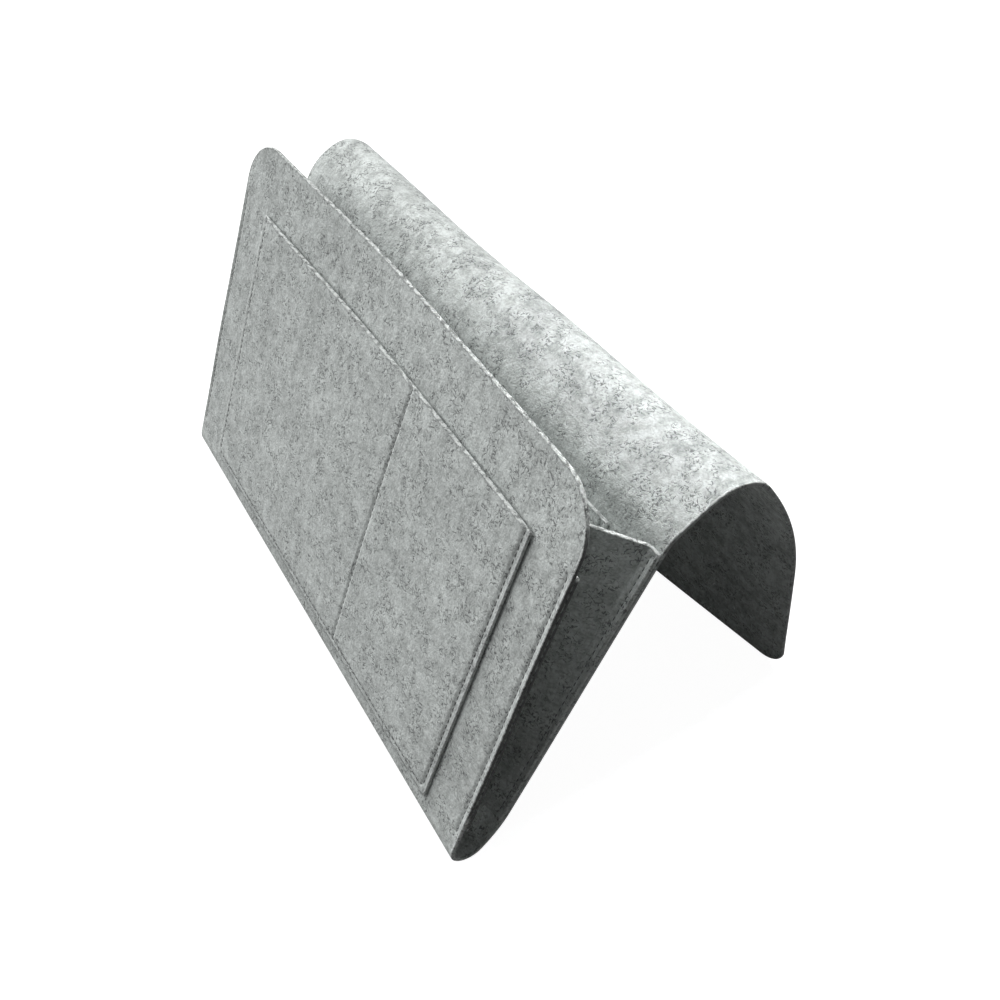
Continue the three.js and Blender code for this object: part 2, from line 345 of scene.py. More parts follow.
@dataclass
class SeamPlan:
    """Where the seams and the sewn pieces lie on the two panels, with the same sizes as the solids."""

    form: SheetForm
    inset: float = 3.0
    end_inset: float = 3.0
    mouth_inset: float = 0.6
    corner_radius: float = 4.0
    corner_points: int = 5
    pocket_width: float = 262.0
    pocket_centre: float = 2.0
    pocket_foot: float = 6.0
    pocket_top: float = 156.0
    divider_x: float = 34.0
    divider_lift: float = 1.1
    sleeve_half: float = 132.0
    sleeve_foot: float = 46.0
    sleeve_top: float = 161.0
    gusset_foot: dict[Panel, float] = field(default_factory=lambda: {Panel.FRONT: 14.0, Panel.REAR: 18.0})
    gusset_top: dict[Panel, float] = field(default_factory=lambda: {Panel.FRONT: 156.0, Panel.REAR: 168.0})
    foot_inset: dict[Panel, float] = field(default_factory=lambda: {Panel.FRONT: -2.5, Panel.REAR: 0.5})

    def __post_init__(self) -> None:
        """Place the seams beside the cut edges."""
        self.gusset_x = self.form.half_width - self.inset
        self.sleeve_x = self.sleeve_half - self.inset

    def gusset_height(self, panel: Panel, share: np.ndarray) -> np.ndarray:
        """Height up a panel at a share of the gusset's height."""
        return self.gusset_foot[panel] + share * self.gusset_run(panel)

    def gusset_run(self, panel: Panel) -> float:
        """Length of the gusset's edge on a panel."""
        return self.gusset_top[panel] - self.gusset_foot[panel]

    def gusset_path(self, panel: Panel, side: Side) -> np.ndarray:
        """A gusset's seam, as places across and up a panel."""
        low = self.gusset_foot[panel] + self.foot_inset[panel]
        high = self.gusset_top[panel] - self.mouth_inset
        x = side.value * self.gusset_x
        return np.array([[x, low], [x, high]])

    def gusset_paths(self, panel: Panel) -> list[np.ndarray]:
        """Both gussets' seams on a panel."""
        return [self.gusset_path(panel, side) for side in Side]

    def pocket_sides(self) -> Pair:
        """Places of the pocket's two side seams."""
        reach = self.pocket_width / 2.0 - self.inset
        return self.pocket_centre - reach, self.pocket_centre + reach

    def pocket_path(self) -> np.ndarray:
        """The seam round the pocket."""
        low, high = self.pocket_sides()
        return self._three_sides(low, high, self.pocket_foot + self.inset, self.pocket_top - self.mouth_inset)

    def divider_path(self) -> np.ndarray:
        """The seam that splits the pocket."""
        low = self.pocket_foot + self.inset + self.divider_lift
        return np.array([[self.divider_x, low], [self.divider_x, self.pocket_top - self.mouth_inset]])

    def sleeve_path(self) -> np.ndarray:
        """The seam round the sleeve."""
        foot, top = self.sleeve_foot + self.inset, self.sleeve_top - self.end_inset
        return self._three_sides(-self.sleeve_x, self.sleeve_x, foot, top)

    def _three_sides(self, left: float, right: float, foot: float, top: float) -> np.ndarray:
        """A seam down one side, along the foot and up the other, with rounded corners."""
        turn = np.linspace(0.0, math.pi / 2.0, self.corner_points)
        leaving = self.corner_radius * (1.0 - np.cos(turn))
        nearing = self.corner_radius * (1.0 - np.sin(turn))
        first = np.stack([left + leaving, foot + nearing], axis=-1)
        second = np.stack([right - nearing, foot + leaving], axis=-1)
        return np.concatenate([[[left, top]], first, second, [[right, top]]])

    def on_front(self, path: np.ndarray) -> np.ndarray:
        """A path up the front panel as places on the long sheet."""
        return path * np.array([1.0, -1.0])

    def on_back(self, path: np.ndarray) -> np.ndarray:
        """A path up the back panel as places on the long sheet."""
        return path + np.array([0.0, self.form.fold_end])


@dataclass(frozen=True)
class Dent:
    """A groove that a seam pulls into one face of the felt."""

    path: np.ndarray
    depth: float = 0.6
    width: float = 0.95

    def relief(self, across: np.ndarray, along: np.ndarray) -> np.ndarray:
        """How far the face sinks at some flat places."""
        nearest = np.full(across.shape, np.inf)
        for start, end in zip(self.path[:-1], self.path[1:]):
            run = end - start
            share = ((across - start[0]) * run[0] + (along - start[1]) * run[1]) / (run @ run)
            share = np.clip(share, 0.0, 1.0)
            gap = np.hypot(across - start[0] - share * run[0], along - start[1] - share * run[1])
            nearest = np.minimum(nearest, gap)
        return self.depth * np.exp(-((nearest / self.width) ** 2))


@dataclass(frozen=True)
class PressedEdge:
    """A sewn edge's felt, pressed thinner from the seam out to the cut."""

    low: float
    high: float
    foot: float
    depth: float = 0.7
    reach: float = 4.0

    def relief(self, across: np.ndarray, along: np.ndarray) -> np.ndarray:
        """How far the face sinks at some flat places."""
        inside = np.minimum(np.minimum(across - self.low, self.high - across), along - self.foot)
        return self.depth * smooth(1.0 - inside / self.reach)


@dataclass
class FlatPattern:
    """The flat shape of one piece: grid lines both ways, rounded corners, and which ends are cut."""

    columns: np.ndarray
    rows: np.ndarray
    start_cut: bool = True
    end_cut: bool = True
    start_radius: float = 0.6
    end_radius: float = 0.6
    clear: float = 1.3

    def grid(self) -> tuple[np.ndarray, np.ndarray, np.ndarray]:
        """Lay out the piece.

        Returns:
            Places across and along for each grid point, and the direction out of the cut edge on the border.
        """
        columns = self._cleared(self.columns, True, True)
        rows = self._cleared(self.rows, self.start_cut, self.end_cut)
        along, across = np.meshgrid(rows, columns, indexing="ij")
        outward = np.zeros((*across.shape, 2))
        outward[:, 0, 0] = -1.0
        outward[:, -1, 0] = 1.0
        if self.start_cut:
            outward[0, :, 1] = -1.0
            self._round(across, along, outward, rows[0], self.start_radius, -1.0)
        if self.end_cut:
            outward[-1, :, 1] = 1.0
            self._round(across, along, outward, rows[-1], self.end_radius, 1.0)
        return across, along, outward

    def _cleared(self, lines: np.ndarray, low_cut: bool, high_cut: bool) -> np.ndarray:
        """Leave out the lines that lie inside a rounded edge."""
        low = lines[0] + self.clear * low_cut
        high = lines[-1] - self.clear * high_cut
        kept = (lines >= low) & (lines <= high)
        kept[[0, -1]] = True
        return lines[kept]

    def _round(
        self,
        across: np.ndarray,
        along: np.ndarray,
        outward: np.ndarray,
        end: float,
        radius: float,
        sign: float,
    ) -> None:
        """Bend the two square corners at one end into quarter rounds, in place."""
        for edge, hand in ((self.columns[0], -1.0), (self.columns[-1], 1.0)):
            over = (across - (edge - hand * radius)) * hand / radius
            up = (along - (end - sign * radius)) * sign / radius
            corner = (over > 0.0) & (up > 0.0)
            round_over = over * np.sqrt(np.maximum(0.0, 1.0 - up**2 / 2.0))
            round_up = up * np.sqrt(np.maximum(0.0, 1.0 - over**2 / 2.0))
            across[corner] = (edge - hand * radius) + hand * radius * round_over[corner]
            along[corner] = (end - sign * radius) + sign * radius * round_up[corner]
            rim = corner & (np.linalg.norm(outward, axis=-1) > 0.0)
            outward[rim, 0] = hand * round_over[rim]
            outward[rim, 1] = sign * round_up[rim]


@dataclass
class FeltCut:
    """A closed piece of felt: a grid of rows and columns on both faces and softly rounded cut edges.

    Flat places are in millimetres on the cut's own pattern. Where an end goes on into another piece it is
    joined, and keeps the full outline with no rounded edge. The outer face uses another part of the endless
    pattern than the inner one.
    """

    name: str
    across: np.ndarray
    along: np.ndarray
    outward: np.ndarray
    surface: Surface
    middle: float = 0.0
    thickness: float = 2.0
    rim_radius: float = 0.6
    rim_steps: int = 3
    rim_level: float = 0.5
    last_step: float = 0.4
    pattern_shift: Pair = (0.0, 0.0)
    outer_shift: float = 531.0
    # Strength of the felt's cloudy colour patches; above 1 it paints the mottled shade of light grazing the
    # flap.
    patch_strength: np.ndarray | float = 1.0
    # Painted shade: how strongly the middle of the sideways cuts is darkened, for each grid point.
    core: np.ndarray | float = 0.0
    outer_dents: Sequence[Dent | PressedEdge] = ()
    inner_dents: Sequence[Dent | PressedEdge] = ()
    probe: float = 0.25
    lift: float = 0.2
    far: float = 12.0
    batch: int = 1500

    def __post_init__(self) -> None:
        """Find the grid's border, once round, and the angles of the rounded edge."""
        rows, columns = self.across.shape
        places = [(0, c) for c in range(columns)]
        places += [(r, columns - 1) for r in range(1, rows)]
        places += [(rows - 1, c) for c in range(columns - 2, -1, -1)]
        places += [(r, 0) for r in range(rows - 2, 0, -1)]
        self.border = tuple(np.array(places).T)
        self.quarter = np.linspace(math.pi / 2.0, 0.0, self.rim_steps + 1)[1:]

    def _place(self, across: np.ndarray, along: np.ndarray, level: float) -> np.ndarray:
        """Points at a level between the inner face, 1, and the outer face, -1, dents included."""
        dents = self.inner_dents if level > 0 else self.outer_dents
        sunk = sum((dent.relief(across, along) for dent in dents), np.zeros(across.shape))
        depth = self.middle + level * (self.thickness / 2.0 - sunk * abs(level))
        return self.surface(across, along, depth)

    def _frame(self, across: np.ndarray, along: np.ndarray, level: float) -> tuple[np.ndarray, ...]:
        """Directions across, along and out of the sheet's inner side at some flat places."""
        over = self._place(across + self.probe, along, level) - self._place(across - self.probe, along, level)
        up = self._place(across, along + self.probe, level) - self._place(across, along - self.probe, level)
        normal = np.cross(over, up)
        normal /= np.linalg.norm(normal, axis=-1, keepdims=True)
        depth = np.full(across.shape, self.middle)
        lift = self.surface(across, along, depth + self.lift) - self.surface(across, along, depth)
        normal *= np.sign(np.sum(normal * lift, axis=-1, keepdims=True))
        return over, up, normal

    def build(self) -> bpy.types.Object:
        """Make the mesh with its flat pattern as UV map, its edge distances and its smooth normals.

        Returns:
            The object, at the origin.
        """
        outward = self.outward[self.border]
        inset = np.zeros((*self.across.shape, 2))
        inset[self.border] = outward
        face_across = self.across - inset[..., 0] * self.rim_radius
        face_along = self.along - inset[..., 1] * self.rim_radius
        points, normals, patterns = [], [], []
        for level, extra in ((1.0, 0.0), (-1.0, self.outer_shift)):
            points.append(self._place(face_across, face_along, level).reshape(-1, 3))
            normals.append((self._frame(face_across, face_along, level)[2] * level).reshape(-1, 3))
            shift = np.array(self.pattern_shift) + extra
            patterns.append((np.stack([face_across, face_along], axis=-1) + shift).reshape(-1, 2))
        half = self.thickness / 2.0
        straight = half - self.rim_radius
        profile = [(angle, 1.0) for angle in self.quarter] + [(-angle, -1.0) for angle in self.quarter[::-1]]
        cut_line = np.stack([self.across[self.border], self.along[self.border]], axis=-1)
        start = cut_line - outward * self.rim_radius + np.array(self.pattern_shift)
        rim_patterns = [start]
        travelled = 0.0
        before = (self.rim_radius, half)
        for angle, sign in profile:
            gone = self.rim_radius * (1.0 - math.cos(angle))
            level = (sign * straight + self.rim_radius * math.sin(angle)) / half
            rim_across, rim_along = (cut_line - outward * gone).T
            points.append(self._place(rim_across, rim_along, level))
            over, up, normal = self._frame(rim_across, rim_along, self.rim_level)
            out = outward[:, :1] * over + outward[:, 1:] * up
            out /= np.maximum(np.linalg.norm(out, axis=-1, keepdims=True), TINY)
            normals.append(out * math.cos(angle) + normal * math.sin(angle))
            travelled += math.hypot(gone - before[0], level * half - before[1])
            before = (gone, level * half)
            rim_patterns.append(start + outward * travelled)
        rim_patterns.append(start + outward * (travelled + self.last_step))
        return self._mesh(points, normals, patterns, rim_patterns)

    def _mesh(
        self,
        points: list[np.ndarray],
        normals: list[np.ndarray],
        patterns: list[np.ndarray],
        rim_patterns: list[np.ndarray],
    ) -> bpy.types.Object:
        """Join the two faces and the rim into one closed mesh.

        Args:
            points: The inner face's points, the outer face's, then each ring of the rim.
            normals: The same for the normals.
            patterns: Flat places of the two faces.
            rim_patterns: Flat places of the rim's rings, from the inner face to the outer.

        Returns:
            The object.
        """
        rows, columns = self.across.shape
        size = rows * columns
        border = self.border[0] * columns + self.border[1]
        count = len(border)
        rings = [border]
        rings += [2 * size + k * count + np.arange(count) for k in range(len(points) - 2)]
        rings.append(border + size)
        grid = np.arange(size).reshape(rows, columns)
        inner = np.stack([grid[:-1, :-1], grid[:-1, 1:], grid[1:, 1:], grid[1:, :-1]], axis=-1).reshape(-1, 4)
        faces = [inner, inner[:, ::-1] + size]
        face_patterns = [patterns[0][inner], patterns[1][inner[:, ::-1]]]
        following = np.roll(np.arange(count), -1)
        for near, far, near_flat, far_flat in zip(rings, rings[1:], rim_patterns, rim_patterns[1:]):
            faces.append(np.stack([near, far, far[following], near[following]], axis=-1))
            corners = [near_flat, far_flat, far_flat[following], near_flat[following]]
            face_patterns.append(np.stack(corners, axis=1))
        quads = np.concatenate(faces)
        corner_patterns = np.concatenate(face_patterns)
        spots = np.concatenate(points)
        first, second, third, fourth = (spots[quads[:, k]] for k in range(4))
        volume = np.sum(first * np.cross(second, third)) + np.sum(first * np.cross(third, fourth))
        if volume < 0:
            quads = quads[:, ::-1]
            corner_patterns = corner_patterns[:, ::-1]
        mesh = bpy.data.meshes.new(self.name)
        mesh.from_pydata((spots * MM).tolist(), [], quads.tolist())
        mesh.polygons.foreach_set("use_smooth", np.ones(len(quads), dtype=bool))
        layer = mesh.uv_layers.new(name=UV_MAP)
        layer.data.foreach_set("uv", (corner_patterns * MM).astype(np.float32).ravel())
        values = {"edge": self._edge_distances(), "side": self._side_shares(), "patch_strength": self._patch_strengths()}
        for name, numbers in values.items():
            attribute = mesh.attributes.new(name, "FLOAT", "POINT")
            attribute.data.foreach_set("value", numbers.astype(np.float32))
        mesh.validate()
        mesh.normals_split_custom_set_from_vertices(np.concatenate(normals).tolist())
        return link(self.name, mesh)

    def _edge_distances(self) -> np.ndarray:
        """Distance of each point from the nearest cut edge, down to -1 in the middle of the cut face."""
        cut = np.linalg.norm(self.outward[self.border], axis=-1) > 0.0
        places = np.stack([self.across, self.along], axis=-1)
        spots = places[self.border][cut]
        places = places.reshape(-1, 2)
        nearest = np.full(len(places), self.far)
        for part in np.array_split(np.arange(len(places)), 1 + len(places) // self.batch):
            gaps = np.linalg.norm(places[part, None, :] - spots[None, :, :], axis=-1)
            nearest[part] = np.minimum(self.far, gaps.min(axis=1))
        levels = np.sin(np.concatenate([self.quarter, self.quarter[::-1]])) - 1.0
        rims = [np.where(cut, level, self.far) for level in levels]
        return np.concatenate([nearest, nearest, *rims])

    def _side_shares(self) -> np.ndarray:
        """How far each point of the cut faces sideways: above 0 where the cut's middle gets painted shade,
        below 0 without.
        """
        sideways = np.abs(self.outward[self.border][:, 0])
        core = np.broadcast_to(self.core, self.across.shape)[self.border]
        share = np.where(core > 0.0, core, -1.0) * sideways
        return np.concatenate([np.zeros(2 * self.across.size)] + [share] * (2 * self.rim_steps))

    def _patch_strengths(self) -> np.ndarray:
        """How strong the felt's cloudy patches are at each point; above 1 they are painted mottled shade."""
        grid = np.broadcast_to(self.patch_strength, self.across.shape)
        return np.concatenate([grid.ravel()] * 2 + [grid[self.border]] * (2 * self.rim_steps))


@dataclass(frozen=True)
class Spots:
    """One layer of soft noise on the flat pattern.

    Its spots have a length and a width in millimetres and lie at a turn in degrees. The seed chooses a part
    of the endless pattern, and the detail is the number of finer layers.
    """

    length: float
    width: float
    seed: int
    detail: float = 2.0
    turn: float = 0.0


class Shade:
    """A value in a material's node tree that takes part in sums as a number does."""

    def __init__(self, graph: ShaderGraph, socket: bpy.types.NodeSocket) -> None:
        """Keep the graph and the socket that gives the value."""
        self.graph = graph
        self.socket = socket

    def _math(self, operation: str, first: Value, second: Value) -> Shade:
        """Add one Math node."""
        return self.graph.node("ShaderNodeMath", {"operation": operation}, {0: first, 1: second})

    def __add__(self, other: Value) -> Shade:
        """Sum."""
        return self._math("ADD", self, other)

    __radd__ = __add__

    def __sub__(self, other: Value) -> Shade:
        """Difference."""
        return self._math("SUBTRACT", self, other)

    def __rsub__(self, other: Value) -> Shade:
        """Difference from a number."""
        return self._math("SUBTRACT", other, self)

    def __mul__(self, other: Value) -> Shade:
        """Product."""
        return self._math("MULTIPLY", self, other)

    __rmul__ = __mul__

    def __or__(self, other: Value) -> Shade:
        """The larger of two masks."""
        return self._math("MAXIMUM", self, other)

    def __abs__(self) -> Shade:
        """Size without sign."""
        return self._math("ABSOLUTE", self, 0.0)

    def eased(self, low: float, high: float) -> Shade:
        """A mask that goes smoothly from 0 at low to 1 at high."""
        inputs = {"Value": self, "From Min": low, "From Max": high}
        return self.graph.node("ShaderNodeMapRange", {"interpolation_type": "SMOOTHSTEP"}, inputs)


Value = Shade | float


class ShaderGraph:
    """The node tree of one material while it is being built."""

    SEED_STEP = (0.173, 0.119, 0.0)

    def __init__(self, name: str) -> None:
        """Start an empty material."""
        self.material = bpy.data.materials.new(name)
        self.material.use_nodes = True
        self.tree = self.material.node_tree
        self.tree.nodes.clear()

    def node(self, kind: str, settings: dict, inputs: dict, output: int | str = 0) -> Shade:
        """Add any node and give one of its outputs, by number, identifier or name."""
        plain = {key: value.socket if isinstance(value, Shade) else value for key, value in inputs.items()}
        added = add_node(self.tree, kind, settings, plain)
        results = {socket.identifier: socket for socket in added.outputs}
        return Shade(self, results.get(output) or added.outputs[output])

    def attribute(self, name: str) -> Shade:
        """A number that each point of the mesh carries."""
        return self.node("ShaderNodeAttribute", {"attribute_name": name}, {}, "Fac")

    def mix(self, factor: Value, first: Shade | Colour, second: Shade | Colour) -> Shade:
        """Mix two colours."""
        inputs = {"Factor_Float": factor, "A_Color": first, "B_Color": second}
        return self.node("ShaderNodeMix", {"data_type": "RGBA"}, inputs, "Result_Color")

    def noise(self, place: Shade, spots: Spots) -> Shade:
        """Soft noise on flat places in metres, with values around a half."""
        mapping = {
            "Vector": place,
            "Location": tuple(step * spots.seed for step in self.SEED_STEP),
            "Rotation": (0.0, 0.0, math.radians(spots.turn)),
            "Scale": (spots.length * MM, spots.width * MM, 1.0),
        }
        mapped = self.node("ShaderNodeMapping", {"vector_type": "TEXTURE"}, mapping)
        inputs = {"Vector": mapped, "Scale": 1.0, "Detail": spots.detail, "Roughness": 0.5}
        return self.node("ShaderNodeTexNoise", {"noise_dimensions": "2D"}, inputs)

    def bump(self, strength: float, distance: float, height: Shade) -> Shade:
        """Fine relief of a height, at most a distance in millimetres."""
        inputs = {"Strength": strength, "Distance": distance * MM, "Height": height}
        return self.node("ShaderNodeBump", {}, inputs)

    def finish(self, inputs: dict) -> bpy.types.Material:
        """Close the tree with a Principled surface."""
        surface = self.node("ShaderNodeBsdfPrincipled", {}, inputs)
        add_node(self.tree, "ShaderNodeOutputMaterial", {}, {"Surface": surface.socket})
        return self.material


@dataclass(frozen=True)
class FeltFinish:
    """Pressed heather felt: pale and dark wool fibres, cloudy patches and fuzzy pale cut edges, with painted
    shade in the middle of the cuts that face sideways and a painted highlight along their arrises.

    A range is the pair of values between which a mask rises from 0 to 1. Distances from a cut edge are in
    millimetres.
    """

    name: str = "grey_felt"
    pale: Colour = (0.63, 0.665, 0.650, 1.0)
    dark: Colour = (0.295, 0.311, 0.303, 1.0)
    fibre: Colour = (0.10, 0.105, 0.105, 1.0)
    # Painted shade colour for the middles of the sideways cuts; it also colours the dark tufts of frayed
    # cuts.
    cut: Colour = (0.05, 0.052, 0.051, 1.0)
    # Pale fuzz of the cut edges, and the painted highlight along the arrises of sideways cuts.
    arris: Colour = (0.66, 0.67, 0.66, 1.0)
    swirl_scale: float = 220.0
    swirl_detail: float = 1.0
    swirl_reach: float = 1.8
    cloud_spots: Spots = Spots(26.0, 26.0, 1)
    patch_spots: Spots = Spots(6.0, 6.0, 2)
    crowd_spots: Spots = Spots(10.0, 10.0, 3)
    grain_spots: Spots = Spots(0.9, 0.9, 4, 1.0)
    lump_spots: Spots = Spots(2.4, 2.4, 6)
    tuft_spots: Spots = Spots(3.2, 2.2, 9, 3.0)
    hair_spots: Spots = Spots(14.0, 8.0, 11, 0.5, 30.0)
    break_spots: Spots = Spots(5.0, 5.0, 12, 1.0)
    fibre_spots: tuple[Spots, ...] = (
        Spots(3.2, 0.95, 5, 1.0, 12.0),
        Spots(2.4, 0.8, 6, 1.0, 59.0),
        Spots(3.8, 1.1, 7, 1.0, 106.0),
        Spots(2.8, 0.85, 8, 1.0, 153.0),
    )
    fleck_spots: tuple[Spots, ...] = (
        Spots(3.0, 0.95, 21, 1.0, 28.0),
        Spots(2.5, 0.85, 22, 1.0, 91.0),
        Spots(2.2, 0.9, 23, 1.0, 154.0),
    )
    middle_tone: float = 0.63
    cloud_tone: float = 0.6
    patch_tone: float = 1.0
    fibre_tone: float = 0.5
    grain_tone: float = 0.16
    crowd_range: Pair = (0.42, 0.60)
    crowd_share: float = 0.75
    fleck_range: Pair = (0.39, 0.28)
    fleck_share: float = 0.75
    hair_range: Pair = (0.014, 0.004)
    hair_share: float = 0.3
    break_range: Pair = (0.56, 0.62)
    # Range of the side attribute over which sideways cuts take painted shade and painted arris highlights.
    shaded_side_range: Pair = (0.7, 0.98)
    # Painted highlight along both arrises of a sideways cut: its ranges and its strength.
    arris_ranges: tuple[Pair, Pair] = ((0.5, 0.0), (-0.5, 0.0))
    arris_share: float = 0.8
    tuft_reach: float = 2.4
    stray_reach: float = 0.8
    fuzz_range: Pair = (0.7, -0.1)
    fuzz_tufts: Pair = (0.36, 0.60)
    fuzz_share: float = 0.32
    fray_range: Pair = (0.4, -0.1)
    fray_tufts: Pair = (0.54, 0.40)
    fray_sides: Pair = (-0.8, -0.2)
    fray_share: float = 0.55
    # Painted shade in the middle of sideways cuts: its ragged reach, its range and its strength.
    cut_shade_reach: float = 1.2
    cut_shade_range: Pair = (0.0, -0.6)
    cut_shade_share: float = 0.9
    lump_relief: float = 1.2
    fibre_relief: float = 0.4
    grain_relief: float = 0.2
    fleck_relief: float = 0.5
    tuft_relief: float = 1.2
    tuft_range: Pair = (0.8, 0.0)
    bump_strength: float = 1.0
    bump_height: float = 0.2
    roughness: float = 0.9
    grain_roughness: float = 0.3
    gloss: float = 0.15
    sheen: float = 0.1
    sheen_roughness: float = 0.5

    def _curled(self, graph: ShaderGraph, straight: Shade) -> Shade:
        """Flat places pushed about, so that the fibres curl."""
        inputs = {"Vector": straight, "Scale": self.swirl_scale, "Detail": self.swirl_detail}
        swirl = graph.node("ShaderNodeTexNoise", {"noise_dimensions": "2D"}, inputs, "Color")
        middle = {0: swirl, 1: (0.5, 0.5, 0.5)}
        centred = graph.node("ShaderNodeVectorMath", {"operation": "SUBTRACT"}, middle)
        reach = self.swirl_reach * MM
        curl = {0: centred, 1: (reach, reach, 0.0), 2: straight}
        return graph.node("ShaderNodeVectorMath", {"operation": "MULTIPLY_ADD"}, curl)

    def _fibres(self, graph: ShaderGraph, flat: Shade) -> Shade:
        """Pale and dark fibres that lie every way, around 0."""
        streaks = [graph.noise(flat, spots) - 0.5 for spots in self.fibre_spots]
        return sum(streaks[1:], streaks[0])

    def _flecks(self, graph: ShaderGraph, flat: Shade) -> Shade:
        """Single dark fibres, denser in some patches, and a few long thin ones."""
        crowd = graph.noise(flat, self.crowd_spots).eased(*self.crowd_range)
        total = 0.0
        for spots in self.fleck_spots:
            total = graph.noise(flat, spots).eased(*self.fleck_range) | total
        crowded = total * ((1.0 - self.crowd_share) + self.crowd_share * crowd)
        return crowded | self.hair_share * self._hairs(graph, flat)

    def _hairs(self, graph: ShaderGraph, flat: Shade) -> Shade:
        """Long thin fibres, each the level line of a soft noise, broken into lengths."""
        level = abs(graph.noise(flat, self.hair_spots) - 0.5)
        broken = graph.noise(flat, self.break_spots).eased(*self.break_range)
        return level.eased(*self.hair_range) * broken

    def _worn(self, graph: ShaderGraph, heather: Shade, tufts: Shade, fibres: Shade, edge: Shade) -> Shade:
        """Colour the cut edges: frayed and fuzzy, or, where cut sideways, with painted shade in the middle
        and a painted highlight on each arris.

        Args:
            graph: The felt's tree.
            heather: Colour of the faces.
            tufts: Noise of the edge's tufts.
            fibres: The felt's fibres.
            edge: Distance from the cut, below 0 on the cut itself.

        Returns:
            The colour.
        """
        # Shares above 0 mark the sideways cuts that take painted shade and painted highlights.
        sideways = graph.attribute("side")
        side = sideways.eased(*self.shaded_side_range)
        plain = 1.0 - side
        # Painted highlight: a pale line along both arrises of those sideways cuts.
        outer, inner = (edge.eased(*span) for span in self.arris_ranges)
        arris = outer * inner * side
        ragged = edge + self.tuft_reach * (tufts - 0.5) + self.stray_reach * fibres
        fuzz = ragged.eased(*self.fuzz_range) * tufts.eased(*self.fuzz_tufts) * plain
        torn = edge.eased(*self.fray_range) * tufts.eased(*self.fray_tufts) * plain
        frayed = torn * sideways.eased(*self.fray_sides)
        # Painted shade: the dark middle of the sideways cuts.
        core = (edge + self.cut_shade_reach * (tufts - 0.5)).eased(*self.cut_shade_range) * side
        # Frays and painted shade darken towards the cut colour; fuzz and the painted highlights lighten
        # towards the arris colour.
        frayed_and_shaded = graph.mix(self.cut_shade_share * core | self.fray_share * frayed, heather, self.cut)
        return graph.mix(self.fuzz_share * (fuzz | self.arris_share * arris), frayed_and_shaded, self.arris)

    def material(self) -> bpy.types.Material:
        """Build the felt's nodes on the flat pattern of each piece.

        Returns:
            The material.
        """
        graph = ShaderGraph(self.name)
        straight = graph.node("ShaderNodeUVMap", {"uv_map": UV_MAP}, {})
        flat = self._curled(graph, straight)
        layers = (self.cloud_spots, self.patch_spots, self.grain_spots)
        cloud, patch, grain = (graph.noise(straight, spots) - 0.5 for spots in layers)
        lumps = graph.noise(straight, self.lump_spots)
        tufts = graph.noise(straight, self.tuft_spots)
        fibres = self._fibres(graph, flat)
        flecks = self._flecks(graph, flat)
        # Cloudy patches, stronger on the flap where they paint the mottled shade of the grazing light.
        clouds = graph.attribute("patch_strength") * (self.cloud_tone * cloud + self.patch_tone * patch)
        tone = self.middle_tone + clouds + self.fibre_tone * fibres + self.grain_tone * grain
        heather = graph.mix(self.fleck_share * flecks, graph.mix(tone, self.dark, self.pale), self.fibre)
        edge = graph.attribute("edge")
        relief = self.lump_relief * lumps + self.fibre_relief * fibres + self.grain_relief * grain
        relief = relief - self.fleck_relief * flecks
        relief = relief + self.tuft_relief * tufts * edge.eased(*self.tuft_range)
        inputs = {
            "Base Color": self._worn(graph, heather, tufts, fibres, edge),
            "Roughness": self.roughness + self.grain_roughness * grain,
            "Normal": graph.bump(self.bump_strength, self.bump_height, relief),
            "Specular IOR Level": self.gloss,
            "Sheen Weight": self.sheen,
            "Sheen Roughness": self.sheen_roughness,
        }
        return graph.finish(inputs)


@dataclass(frozen=True)
class ThreadFinish:
    """Dark grey spun sewing thread."""

    name: str = "grey_thread"
    dark: Colour = (0.07, 0.073, 0.072, 1.0)
    pale: Colour = (0.17, 0.177, 0.175, 1.0)
    yarn_scale: float = 2600.0
    yarn_detail: float = 2.0
    yarn_range: Pair = (0.35, 0.65)
    yarn_roughness: float = 0.2
    roughness: float = 0.6
    bump_strength: float = 0.6
    bump_height: float = 0.08
    gloss: float = 0.3

    def material(self) -> bpy.types.Material:
        """Build the thread's nodes: fine turns of yarn in two greys."""
        graph = ShaderGraph(self.name)
        place = graph.node("ShaderNodeTexCoord", {}, {}, "Object")
        turns = {"Vector": place, "Scale": self.yarn_scale, "Detail": self.yarn_detail}
        yarn = graph.node("ShaderNodeTexNoise", {}, turns)
        inputs = {
            "Base Color": graph.mix(yarn.eased(*self.yarn_range), self.dark, self.pale),
            "Roughness": self.roughness + self.yarn_roughness * yarn,
            "Normal": graph.bump(self.bump_strength, self.bump_height, yarn),
            "Specular IOR Level": self.gloss,
        }
        return graph.finish(inputs)


def dress(piece: bpy.types.Object, material: bpy.types.Material) -> bpy.types.Object:
    """Give a piece its material."""
    piece.data.materials.clear()
    piece.data.materials.append(material)
    return piece


def blend_along(
    piece: bpy.types.Object,
    first: np.ndarray,
    last: np.ndarray,
) -> None:
    """Bake a piece's transform into its mesh; the way between its two end rows is worked out but not used.

    Args:
        piece: A finished piece with no parent.
        first: Points of the first row, in millimetres.
        last: Points of the last row.
    """
    way = last.mean(axis=0) - first.mean(axis=0)
    row = last[-1] - last[0] + first[-1] - first[0]
    row /= np.linalg.norm(row)
    way -= row * (way @ row)
    way /= np.linalg.norm(way)
    low, high = (first @ way).max(), (last @ way).min()
    middle = first.mean(axis=0)
    start = middle + way * (low - middle @ way)
    end = middle + way * (high - middle @ way)
    tuple(start * MM)
    tuple(end * MM)
    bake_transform(piece)


